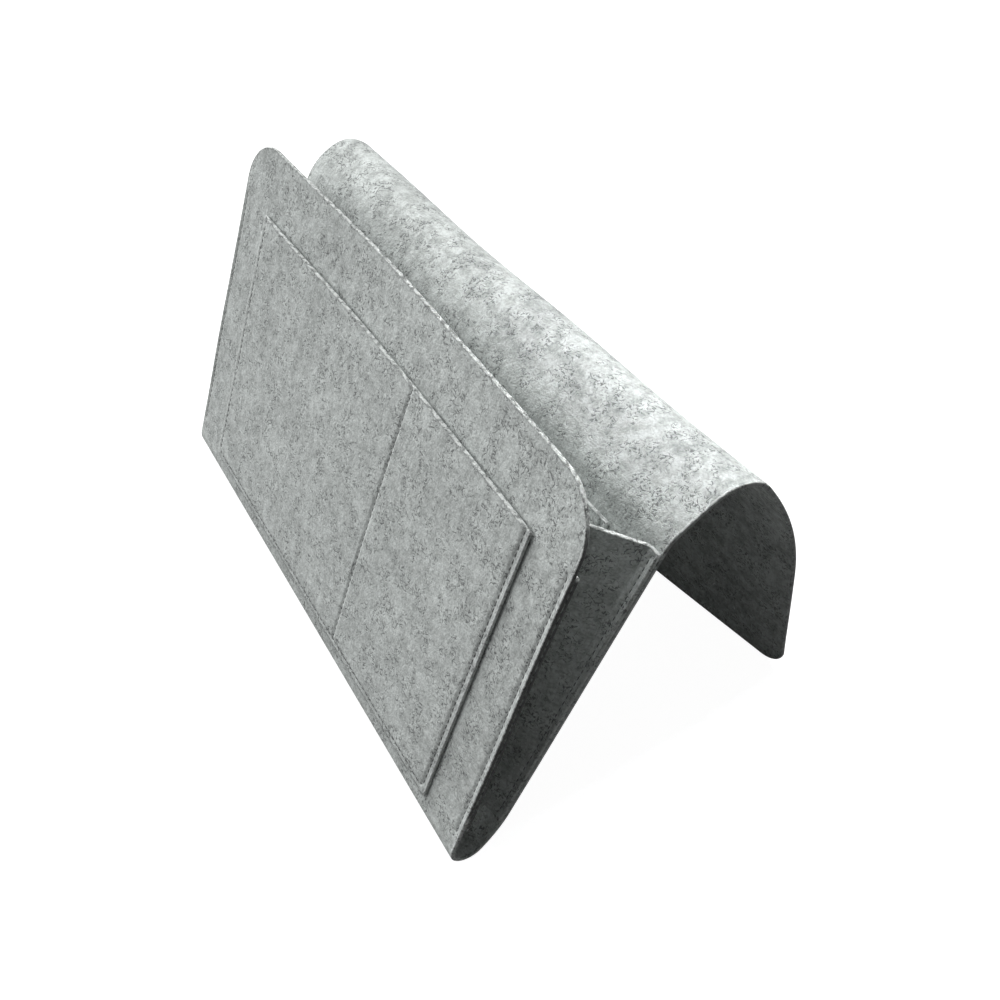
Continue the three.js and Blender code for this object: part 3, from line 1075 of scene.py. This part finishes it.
@dataclass
class LongSheet:
    """The long felt sheet, made in lengths that meet in the middles of the flap's strips."""

    form: SheetForm
    seams: SeamPlan
    corner_radius: float = 25.0
    tail_corner_radius: float = 12.0
    column_step: float = 2.6
    row_step: float = 1.8
    bend_row_share: float = 0.6
    fold_rows: int = 18
    row_points: int = 41
    flap_lead: float = 2.0
    bend_lead: float = 6.0
    # The cloudy patches grow stronger onto the flap as painted mottled shade, over this reach and by this
    # gain.
    flap_patch_reach: float = 30.0
    flap_patch_gain: float = 0.6
    # Painted shade in the middle of the side cuts: where it starts up the front panel and over what rise, its
    # strength on the flap, and its lead below the flap.
    front_cut_shade: Pair = (8.0, 20.0)
    flap_cut_shade: float = 0.86
    cut_shade_lead: float = 8.0

    def build(self, felt: bpy.types.Material) -> list[bpy.types.Object]:
        """Build every length of the sheet, from the front panel to the flap's end."""
        strips = self.form.marks[FIRST_STRIP:-1]
        middles = [(low + high) / 2.0 for low, high in zip(strips, strips[1:])]
        pieces = [self._front(), self._back(middles[0])]
        pieces += [self._flap(number, middles) for number in range(1, len(middles) + 1)]
        return [dress(piece, felt) for piece in pieces]

    def _columns(self, *marks: float) -> np.ndarray:
        """Grid lines across the whole sheet, with fine ones at both ends' marks."""
        half = self.form.half_width
        return graded(-half, half, self.column_step, [side.value * mark for side in Side for mark in marks])

    def _flap_patches(self, along: np.ndarray) -> np.ndarray:
        """The cloudy patches grow stronger onto the flap, painting the mottled shade of the light that grazes
        it.
        """
        return 1.0 + self.flap_patch_gain * smooth((along - self.form.flap_start) / self.flap_patch_reach)

    def _cut_shade(self, along: np.ndarray) -> np.ndarray:
        """How much painted shade darkens the middle of the side cuts, from the top of the back panel on."""
        return self.flap_cut_shade * smooth((along - self.form.flap_start) / self.cut_shade_lead + 1.0)

    def _row(self, along: float) -> np.ndarray:
        """Points across the sheet, on both faces."""
        form = self.form
        x = np.linspace(-form.half_width, form.half_width, self.row_points)
        faces = [form.point(x, np.full(x.shape, along), depth) for depth in (-form.half, form.half)]
        return np.concatenate(faces)

    def _front(self) -> bpy.types.Object:
        """The front panel and the tight fold under it."""
        form, seams = self.form, self.seams
        fold = np.linspace(0.0, form.fold_end, self.fold_rows + 1)[1:]
        rows = np.concatenate([graded(-form.front_height, 0.0, self.row_step), fold])
        pattern = FlatPattern(self._columns(seams.gusset_x), rows, end_cut=False)
        pattern.start_radius = self.corner_radius
        across, along, outward = pattern.grid()
        # The front panel's side cuts take painted shade from a little above the fold upwards.
        start, fade = self.front_cut_shade
        cut = FeltCut("front_sheet", across, along, outward, form.point, core=smooth((-start - along) / fade))
        cut.outer_dents = [Dent(seams.on_front(path)) for path in seams.gusset_paths(Panel.FRONT)]
        piece = cut.build()
        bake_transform(piece)
        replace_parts(piece, "front_panel", "bottom_fold")
        form.width * MM
        return piece

    def _back(self, end: float) -> bpy.types.Object:
        """The heel and the back panel, up to the middle of the flap's first strip."""
        form, seams = self.form, self.seams
        panel = graded(form.fold_end, form.flap_start, self.row_step)
        rows = np.concatenate([panel, [form.flap_start + self.flap_lead, end]])
        columns = self._columns(seams.gusset_x, seams.sleeve_x)
        across, along, outward = FlatPattern(columns, rows, start_cut=False, end_cut=False).grid()
        cut = FeltCut("back_sheet", across, along, outward, form.point)
        cut.patch_strength, cut.core = self._flap_patches(along), self._cut_shade(along)
        paths = [*seams.gusset_paths(Panel.REAR), seams.sleeve_path()]
        cut.outer_dents = [Dent(seams.on_back(path)) for path in paths]
        piece = cut.build()
        blend_along(piece, self._row(form.flap_start - self.bend_lead), self._row(end))
        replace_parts(piece, "back_panel", "flap_strip_1")
        form.width * MM
        (end - form.fold_end) * MM
        return piece

    def _flap(self, number: int, middles: Sequence[float]) -> bpy.types.Object:
        """One length of the flap, from the middle of a strip to the middle of the next or the flap's end."""
        form = self.form
        start = middles[number - 1]
        closing = number == len(middles)
        end = form.sheet_end if closing else middles[number]
        rows = graded(start, end, self.row_step * (1.0 if closing else self.bend_row_share))
        pattern = FlatPattern(self._columns(), rows, start_cut=False, end_cut=closing)
        pattern.end_radius = self.tail_corner_radius
        across, along, outward = pattern.grid()
        cut = FeltCut(f"flap_sheet_{number}", across, along, outward, form.point)
        cut.patch_strength, cut.core = self._flap_patches(along), self._cut_shade(along)
        piece = cut.build()
        last = form.tail_start + (form.tail_start - start) if closing else end
        blend_along(piece, self._row(start), self._row(min(last, form.sheet_end)))
        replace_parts(piece, f"flap_strip_{number}", "flap_tail" if closing else f"flap_strip_{number + 1}")
        form.width * MM
        (end - start) * MM
        return piece


@dataclass
class OuterPocket:
    """The flat pocket on the front panel, a little slack at its mouth on either side of the divider."""

    form: SheetForm
    seams: SeamPlan
    gape: float = 0.9
    even_gape: float = 0.4
    column_step: float = 2.4
    row_step: float = 2.0
    pattern_shift: Pair = (1400.0, 250.0)

    def surface(self, x: np.ndarray, height: np.ndarray, depth: np.ndarray) -> np.ndarray:
        """Points of the pocket on the front panel."""
        seams = self.seams
        low, high = seams.pocket_sides()
        first = np.sin(math.pi * np.clip((x - low) / (seams.divider_x - low), 0.0, 1.0))
        second = np.sin(math.pi * np.clip((x - seams.divider_x) / (high - seams.divider_x), 0.0, 1.0))
        rise = np.clip((height - seams.pocket_foot) / (seams.pocket_top - seams.pocket_foot), 0.0, 1.0)
        share = self.even_gape + (1.0 - self.even_gape) * np.maximum(first, second)
        return self.form.front_point(x, height, depth - self.gape * share * rise**3)

    def build(self, felt: bpy.types.Material) -> bpy.types.Object:
        """Build the pocket on the front body."""
        seams = self.seams
        half = seams.pocket_width / 2.0
        low, high = seams.pocket_centre - half, seams.pocket_centre + half
        columns = graded(low, high, self.column_step, [*seams.pocket_sides(), seams.divider_x])
        rows = graded(seams.pocket_foot, seams.pocket_top, self.row_step, [seams.pocket_foot + seams.inset])
        grid = FlatPattern(columns, rows).grid()
        cut = FeltCut("outer_pocket_felt", *grid, self.surface, -self.form.layer)
        cut.pattern_shift = self.pattern_shift
        cut.outer_dents = [Dent(seams.pocket_path()), Dent(seams.divider_path())]
        cut.outer_dents.append(PressedEdge(low, high, seams.pocket_foot))
        piece = dress(cut.build(), felt)
        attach(piece, "front")
        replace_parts(piece, "outer_pocket")
        return piece


@dataclass
class InnerSleeve:
    """The flat sleeve on the inside of the back panel."""

    form: SheetForm
    seams: SeamPlan
    column_step: float = 2.6
    row_step: float = 2.4
    pattern_shift: Pair = (2300.0, 900.0)

    def build(self, felt: bpy.types.Material) -> bpy.types.Object:
        """Build the sleeve on the back body."""
        seams = self.seams
        half = seams.sleeve_half
        columns = graded(-half, half, self.column_step, [side.value * seams.sleeve_x for side in Side])
        rows = graded(seams.sleeve_foot, seams.sleeve_top, self.row_step, [seams.sleeve_foot + seams.inset])
        grid = FlatPattern(columns, rows).grid()
        cut = FeltCut("inner_sleeve_felt", *grid, self.form.back_point, self.form.layer)
        cut.pattern_shift = self.pattern_shift
        cut.inner_dents = [Dent(seams.sleeve_path())]
        piece = dress(cut.build(), felt)
        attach(piece, "back")
        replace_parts(piece, "inner_sleeve")
        return piece


@dataclass
class Gusset:
    """A bellows gusset: one strip with a sewn flange on each long edge, folded inwards at a crease."""

    form: SheetForm
    seams: SeamPlan
    side: Side
    flange: float = 6.0
    half_width: float = 26.0
    crease_gap: float = 0.6
    crease_length: float = 5.0
    seam_softness: float = 2.6
    steepest: float = 0.98
    column_step: float = 1.5
    row_step: float = 2.0
    bend_offset: float = 1.0
    samples: int = 9
    pattern_shift: Pair = (3100.0, 1700.0)
    side_shift: float = 400.0

    def __post_init__(self) -> None:
        """Add up the strip's flat width and height."""
        self.total = 2.0 * (self.flange + self.half_width) + self.crease_length
        self.height = (self.seams.gusset_run(Panel.FRONT) + self.seams.gusset_run(Panel.REAR)) / 2.0

    def _panel(self, panel: Panel, x: np.ndarray, along: np.ndarray, depth: np.ndarray) -> np.ndarray:
        """Points beside one panel at a share of the gusset's own height there."""
        height = self.seams.gusset_height(panel, along / self.height)
        if panel is Panel.FRONT:
            return self.form.front_point(x, height, depth)
        return self.form.back_point(x, height, depth)

    def _wing(self, panel: Panel, from_edge: np.ndarray, along: np.ndarray, depth: np.ndarray) -> np.ndarray:
        """Points from one cut edge over the flange and along the half up to the crease."""
        form, side = self.form, self.side.value
        seam_x = np.full(along.shape, side * (form.half_width - self.flange))
        layer = np.full(along.shape, form.layer)
        opposite = Panel.REAR if panel is Panel.FRONT else Panel.FRONT
        seam = self._panel(panel, seam_x, along, layer)
        towards = self._panel(opposite, seam_x, along, layer) - seam
        gap = np.linalg.norm(towards, axis=-1, keepdims=True)
        towards = towards / gap
        inwards = np.array([-side, 0.0, 0.0])
        rise = (gap / 2.0 - form.half - self.crease_gap / 2.0) / self.half_width
        slope = np.arcsin(np.clip(rise, 0.0, self.steepest))
        way = inwards * np.cos(slope) + towards * np.sin(slope)
        square = towards * np.cos(slope) - inwards * np.sin(slope)
        run = (from_edge - self.flange)[..., None]
        flat = self._panel(panel, side * (form.half_width - from_edge), along, form.layer + depth)
        turned = seam + way * run + square * depth[..., None]
        share = smooth((run + self.seam_softness) / (2.0 * self.seam_softness))
        wing = flat * (1.0 - share) + turned * share
        beyond = np.maximum(run - self.half_width, 0.0)
        radius = (form.half + self.crease_gap / 2.0) / np.cos(slope)
        swing = beyond / (self.crease_length / 2.0) * (math.pi / 2.0 - slope)
        centre = seam + way * self.half_width + square * radius
        arc = centre + (radius - depth[..., None]) * (way * np.sin(swing) - square * np.cos(swing))
        return np.where(beyond > 0.0, arc, wing)

    def surface(self, across: np.ndarray, along: np.ndarray, depth: np.ndarray) -> np.ndarray:
        """Points of the gusset from the front cut edge to the rear one."""
        across, along, depth = np.broadcast_arrays(*(np.asarray(a, float) for a in (across, along, depth)))
        half = self.total / 2.0
        front = self._wing(Panel.FRONT, np.minimum(across, half), along, depth)
        rear = self._wing(Panel.REAR, np.minimum(self.total - across, half), along, depth)
        return np.where((across <= half)[..., None], front, rear)

    def _seam_middle(self, panel: Panel) -> np.ndarray:
        """The middle of the gusset's seam on one panel."""
        x = np.full(self.samples, self.side.value * self.seams.gusset_x)
        shares = np.linspace(0.0, self.height, self.samples)
        return self._panel(panel, x, shares, np.full(self.samples, self.form.layer)).mean(axis=0)

    def build(self, felt: bpy.types.Material) -> bpy.types.Object:
        """Build the gusset between the two panels."""
        total, name = self.total, f"gusset_{self.side.label}"
        inset = self.form.half_width - self.seams.gusset_x
        marks = [inset, self.flange + self.bend_offset, total / 2.0, total - inset]
        columns = graded(0.0, total, self.column_step, marks)
        across, along, outward = FlatPattern(columns, graded(0.0, self.height, self.row_step)).grid()
        cut = FeltCut(f"{name}_felt", across, along, outward, self.surface)
        # Painted shade in the middle of the front half's side cuts only; the rear half's cuts stay plain.
        cut.core = (across < total / 2.0).astype(float)
        cut.pattern_shift = (self.pattern_shift[0] + self.side_shift * self.side.value, self.pattern_shift[1])
        low, high = self.seams.end_inset, self.height - self.seams.end_inset
        cut.inner_dents = [Dent(np.array([[place, low], [place, high]])) for place in (inset, total - inset)]
        piece = dress(cut.build(), felt)
        rear, front = self._seam_middle(Panel.REAR), self._seam_middle(Panel.FRONT)
        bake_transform(piece)
        solids = [f"{name}_{panel.value}_{part}" for panel in Panel for part in ("flange", "half")]
        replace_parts(piece, *solids)
        return (piece, total * MM)[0]


@dataclass
class StitchTree:
    """Geometry Nodes that lay one bent stitch of thread at every point of a run."""

    name: str = "stitch_run"
    sides: int = 6
    bends: int = 5

    def build(self) -> bpy.types.NodeTree:
        """Make the node tree.

        Returns:
            The tree, with named inputs for the stitch's sizes.
        """
        tree = bpy.data.node_groups.new(self.name, "GeometryNodeTree")
        kinds = {"Run": "Geometry", "Stitch Length": "Float", "Thread Radius": "Float", "Sink": "Float"}
        kinds |= {"Sway": "Float", "Seed": "Int", "Thread": "Material"}
        for name, kind in kinds.items():
            tree.interface.new_socket(name=name, in_out="INPUT", socket_type=f"NodeSocket{kind}")
        tree.interface.new_socket(name="Stitches", in_out="OUTPUT", socket_type="NodeSocketGeometry")
        given = tree.nodes.new("NodeGroupInput").outputs

        def add(kind: str, settings: dict, inputs: dict) -> bpy.types.NodeSocket:
            """Add one node and give its first output."""
            return add_node(tree, kind, settings, inputs).outputs[0]

        times = partial(add, "ShaderNodeMath", {"operation": "MULTIPLY"})
        half = times({0: given["Stitch Length"], 1: 0.5})
        down = times({0: given["Sink"], 1: -1.0})
        start = add("ShaderNodeCombineXYZ", {}, {"X": times({0: half, 1: -1.0}), "Z": down})
        crest = add("ShaderNodeCombineXYZ", {}, {"Z": given["Sink"]})
        end = add("ShaderNodeCombineXYZ", {}, {"X": half, "Z": down})
        bow = {"Resolution": self.bends, "Start": start, "Middle": crest, "End": end}
        arch = add("GeometryNodeCurveQuadraticBezier", {}, bow)
        circle = {"Resolution": self.sides, "Radius": given["Thread Radius"]}
        ring = add("GeometryNodeCurvePrimitiveCircle", {}, circle)
        tube = {"Curve": arch, "Profile Curve": ring, "Fill Caps": True}
        thread = add("GeometryNodeCurveToMesh", {}, tube)
        named = partial(add, "GeometryNodeInputNamedAttribute", {"data_type": "FLOAT_VECTOR"})
        turned = add("FunctionNodeAlignRotationToVector", {"axis": "Z"}, {"Vector": named({"Name": "out"})})
        facing = add(
            "FunctionNodeAlignRotationToVector",
            {"axis": "X", "pivot_axis": "Z"},
            {"Rotation": turned, "Vector": named({"Name": "along"})},
        )
        bounds = {2: times({0: given["Sway"], 1: -1.0}), 3: given["Sway"], "Seed": given["Seed"]}
        random = add_node(tree, "FunctionNodeRandomValue", {"data_type": "FLOAT"}, bounds)
        spin = {"Axis": (0.0, 0.0, 1.0), "Angle": random.outputs[1]}
        sway = add("FunctionNodeAxisAngleToRotation", {}, spin)
        swayed = {"Rotation": facing, "Rotate By": sway}
        aim = add("FunctionNodeRotateRotation", {"rotation_space": "LOCAL"}, swayed)
        placed = {"Points": given["Run"], "Instance": thread, "Rotation": aim}
        laid = add("GeometryNodeInstanceOnPoints", {}, placed)
        real = add("GeometryNodeRealizeInstances", {}, {"Geometry": laid})
        soft = add("GeometryNodeSetShadeSmooth", {}, {"Geometry": real, "Shade Smooth": True})
        dyed = add("GeometryNodeSetMaterial", {}, {"Geometry": soft, "Material": given["Thread"]})
        add_node(tree, "NodeGroupOutput", {}, {"Stitches": dyed})
        return tree


@dataclass(frozen=True)
class SewnFace:
    """One face that a seam's stitches lie on, and the way out of it."""

    surface: Surface
    depth: float
    out: float


@dataclass
class Stitching:
    """All the seams' stitches, on the faces that show and on the faces behind them."""

    form: SheetForm
    seams: SeamPlan
    pocket: OuterPocket
    pitch: float = 3.5
    stitch_length: float = 2.9
    thread_radius: float = 0.27
    sink: float = 0.5
    settle: float = 0.55
    sway: float = 0.06
    seed: int = 17
    probe: float = 0.4

    def build(self, thread: bpy.types.Material) -> list[bpy.types.Object]:
        """Sew every seam, each as one piece of stitches."""
        form, seams, layer = self.form, self.seams, self.form.layer
        tree = StitchTree().build()
        under, over = -form.half, form.half
        front = (SewnFace(form.front_point, under, -1.0), SewnFace(form.front_point, layer + over, 1.0))
        back = (SewnFace(form.back_point, layer + over, 1.0), SewnFace(form.back_point, under, -1.0))
        pocket = (SewnFace(self.pocket.surface, under - layer, -1.0), SewnFace(form.front_point, over, 1.0))
        plan = []
        for side in Side:
            plan.append((f"seam_front_{side.label}", "front", seams.gusset_path(Panel.FRONT, side), front))
            plan.append((f"seam_rear_{side.label}", "back", seams.gusset_path(Panel.REAR, side), back))
        plan.append(("seam_outer_pocket", "front", seams.pocket_path(), pocket))
        plan.append(("seam_pocket_divider", "front", seams.divider_path(), pocket))
        plan.append(("seam_inner_sleeve", "back", seams.sleeve_path(), back))
        pieces = []
        for node, body, path, faces in plan:
            piece = self._laid(f"{node}_stitches", path, faces)
            self._sew(piece, tree, thread)
            dress(piece, thread)
            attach(piece, body)
            pieces.append(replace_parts(piece, node))
        return pieces

    def _places(self, path: np.ndarray) -> tuple[np.ndarray, np.ndarray]:
        """Even places for the stitches on a path, and the path's direction there."""
        runs = np.diff(path, axis=0)
        lengths = np.linalg.norm(runs, axis=1)
        gone = np.concatenate([[0.0], np.cumsum(lengths)])
        count = int(gone[-1] / self.pitch)
        distances = (np.arange(count) + 0.5) * gone[-1] / count
        index = np.clip(np.searchsorted(gone, distances, side="right") - 1, 0, len(runs) - 1)
        way = runs[index] / lengths[index, None]
        return path[index] + way * (distances - gone[index])[:, None], way

    def _laid(self, name: str, path: np.ndarray, faces: Sequence[SewnFace]) -> bpy.types.Object:
        """One point for each stitch of a seam, with the ways along and out."""
        places, way = self._places(path)
        x, height = places.T
        ahead_x, ahead_height = (places + way * self.probe).T
        points, alongs, outs = [], [], []
        for face in faces:
            depth = np.full(x.shape, face.depth - face.out * self.settle)
            spots = face.surface(x, height, depth)
            points.append(spots)
            alongs.append(face.surface(ahead_x, ahead_height, depth) - spots)
            outs.append(face.surface(x, height, depth + self.probe * face.out) - spots)
        mesh = bpy.data.meshes.new(name)
        mesh.from_pydata((np.concatenate(points) * MM).tolist(), [], [])
        for key, values in (("along", alongs), ("out", outs)):
            attribute = mesh.attributes.new(key, "FLOAT_VECTOR", "POINT")
            attribute.data.foreach_set("vector", np.concatenate(values).astype(np.float32).ravel())
        return link(name, mesh)

    def _sew(self, piece: bpy.types.Object, tree: bpy.types.NodeTree, thread: bpy.types.Material) -> None:
        """Turn a piece's points into a plain mesh of stitches."""
        modifier = piece.modifiers.new("stitches", "NODES")
        modifier.node_group = tree
        sizes = {
            "Stitch Length": self.stitch_length * MM,
            "Thread Radius": self.thread_radius * MM,
            "Sink": self.sink * MM,
            "Sway": self.sway,
            "Seed": self.seed,
            "Thread": thread,
        }
        for item in tree.interface.items_tree:
            if item.item_type == "SOCKET" and item.name in sizes:
                modifier[item.identifier] = sizes[item.name]
        points = piece.data
        evaluated = piece.evaluated_get(bpy.context.evaluated_depsgraph_get())
        sewn = bpy.data.meshes.new_from_object(evaluated)
        piece.modifiers.remove(modifier)
        piece.data = sewn
        bpy.data.meshes.remove(points)


@dataclass(frozen=True)
class Softbox:
    """A square soft lamp, with the angle that its beam spreads over in degrees."""

    name: str
    place: tuple[float, float, float]
    size: float
    watts: float
    aim: tuple[float, float, float] = (0.0, 0.0, 0.08)
    spread: float = 180.0


@dataclass
class Studio:
    """Pale floor, soft lamps and the camera at the photograph's viewing angle, in metres."""

    camera_place: tuple[float, ...] = (0.36872, -0.12966, 0.46153)
    camera_right: tuple[float, ...] = (0.50361, 0.85675, -0.11116)
    camera_down: tuple[float, ...] = (0.60645, -0.44222, -0.66081)
    camera_forward: tuple[float, ...] = (-0.6153, 0.26538, -0.74228)
    focal_share: float = 1.0989
    sensor: float = 36.0
    clip_start: float = 0.01
    ambient: float = 0.04
    floor_reach: float = 4.0
    floor_level: float = -0.3 * MM
    floor_bounce: float = 0.27
    floor_glow: float = 0.96
    floor_pale: float = 0.26
    lamps: tuple[Softbox, ...] = (
        Softbox("upper_left_softbox", (-2.0, 1.0, 2.75), 2.5, 145.0),
        Softbox("overhead_softbox", (-0.25, 0.25, 3.5), 2.5, 18.0),
        Softbox("right_rear_softbox", (0.12, 0.9, 0.85), 0.12, 0.08, (0.12, 0.03, 0.17), 18.0),
        Softbox("front_left_softbox", (-1.9, -3.1, 1.9), 2.5, 70.0),
        Softbox("left_softbox", (-3.4, 0.0, 1.6), 2.5, 80.0),
    )

    def build(self) -> None:
        """Set up the camera, the lamps, the world and the floor."""
        self._camera()
        for lamp in self.lamps:
            self._lamp(lamp)
        self._world()
        self._floor()
        bpy.context.scene.view_settings.view_transform = "Standard"

    def _camera(self) -> None:
        """Place the camera by its own three directions."""
        data = bpy.data.cameras.new("photo_camera")
        data.sensor_fit = "HORIZONTAL"
        data.sensor_width = self.sensor
        data.lens = self.focal_share * self.sensor
        data.clip_start = self.clip_start
        camera = link("photo_camera", data)
        ways = (self.camera_right, self.camera_down, self.camera_forward)
        right, down, forward = (Vector(way) for way in ways)
        turn = Matrix((right, -down, -forward)).transposed().to_4x4()
        camera.matrix_world = Matrix.Translation(self.camera_place) @ turn
        bpy.context.scene.camera = camera

    def _lamp(self, lamp: Softbox) -> None:
        """Add one soft lamp."""
        data = bpy.data.lights.new(lamp.name, "AREA")
        data.size = lamp.size
        data.energy = lamp.watts
        data.spread = math.radians(lamp.spread)
        light = link(lamp.name, data)
        light.location = lamp.place
        aim = Vector(lamp.aim) - Vector(lamp.place)
        light.rotation_euler = aim.to_track_quat("-Z", "Y").to_euler()

    @staticmethod
    def _show(tree: bpy.types.NodeTree, lit: bpy.types.Node, seen: bpy.types.Node, output: str) -> None:
        """Use one shader for the rays that show the background and another for the light on the caddy.

        Args:
            tree: The tree to close.
            lit: The shader that lights the caddy.
            seen: The shader that camera, glossy and transmission rays meet.
            output: The output node's type.
        """
        path = add_node(tree, "ShaderNodeLightPath", {}, {}).outputs
        mask = path["Is Camera Ray"]
        for name in ("Is Glossy Ray", "Is Transmission Ray"):
            larger = add_node(tree, "ShaderNodeMath", {"operation": "MAXIMUM"}, {0: mask, 1: path[name]})
            mask = larger.outputs[0]
        mixed = add_node(tree, "ShaderNodeMixShader", {}, {0: mask, 1: lit.outputs[0], 2: seen.outputs[0]})
        add_node(tree, output, {}, {"Surface": mixed.outputs[0]})

    def _world(self) -> None:
        """A white background to the camera, and a soft low light for the object."""
        world = bpy.data.worlds.new("studio_air")
        bpy.context.scene.world = world
        world.use_nodes = True
        tree = world.node_tree
        tree.nodes.clear()
        air = add_node(tree, "ShaderNodeBackground", {}, {"Color": WHITE, "Strength": self.ambient})
        white = add_node(tree, "ShaderNodeBackground", {}, {"Color": WHITE})
        self._show(tree, air, white, "ShaderNodeOutputWorld")

    def _floor(self) -> None:
        """A pale floor that looks white and keeps the caddy's soft shadow."""
        mesh = bpy.data.meshes.new("floor")
        low, high, level = -self.floor_reach, self.floor_reach, self.floor_level
        corners = [(low, low, level), (high, low, level), (high, high, level), (low, high, level)]
        mesh.from_pydata(corners, [], [(0, 1, 2, 3)])
        material = bpy.data.materials.new("pale_floor")
        material.use_nodes = True
        tree = material.node_tree
        tree.nodes.clear()
        greys = [(tone, tone, tone, 1.0) for tone in (self.floor_bounce, self.floor_pale)]
        bounce, pale = (add_node(tree, "ShaderNodeBsdfDiffuse", {}, {"Color": grey}) for grey in greys)
        glow = add_node(tree, "ShaderNodeEmission", {}, {"Strength": self.floor_glow})
        shown = add_node(tree, "ShaderNodeAddShader", {}, {0: pale.outputs[0], 1: glow.outputs[0]})
        self._show(tree, bounce, shown, "ShaderNodeOutputMaterial")
        mesh.materials.append(material)
        link("floor", mesh)


def main() -> None:
    """Build the studio and every piece of the caddy, and log each piece's face count."""
    logging.basicConfig(level=logging.INFO, format="%(name)s: %(message)s")
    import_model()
    Studio().build()
    felt = FeltFinish().material()
    thread = ThreadFinish().material()
    form = SheetForm()
    seams = SeamPlan(form)
    pocket = OuterPocket(form, seams)
    pieces = LongSheet(form, seams).build(felt)
    pieces.append(pocket.build(felt))
    pieces.append(InnerSleeve(form, seams).build(felt))
    pieces += [Gusset(form, seams, side).build(felt) for side in Side]
    pieces += Stitching(form, seams, pocket).build(thread)
    for piece in pieces:
        LOG.info("%s: %d faces", piece.name, len(piece.data.polygons))


if __name__ == "__main__":
    main()
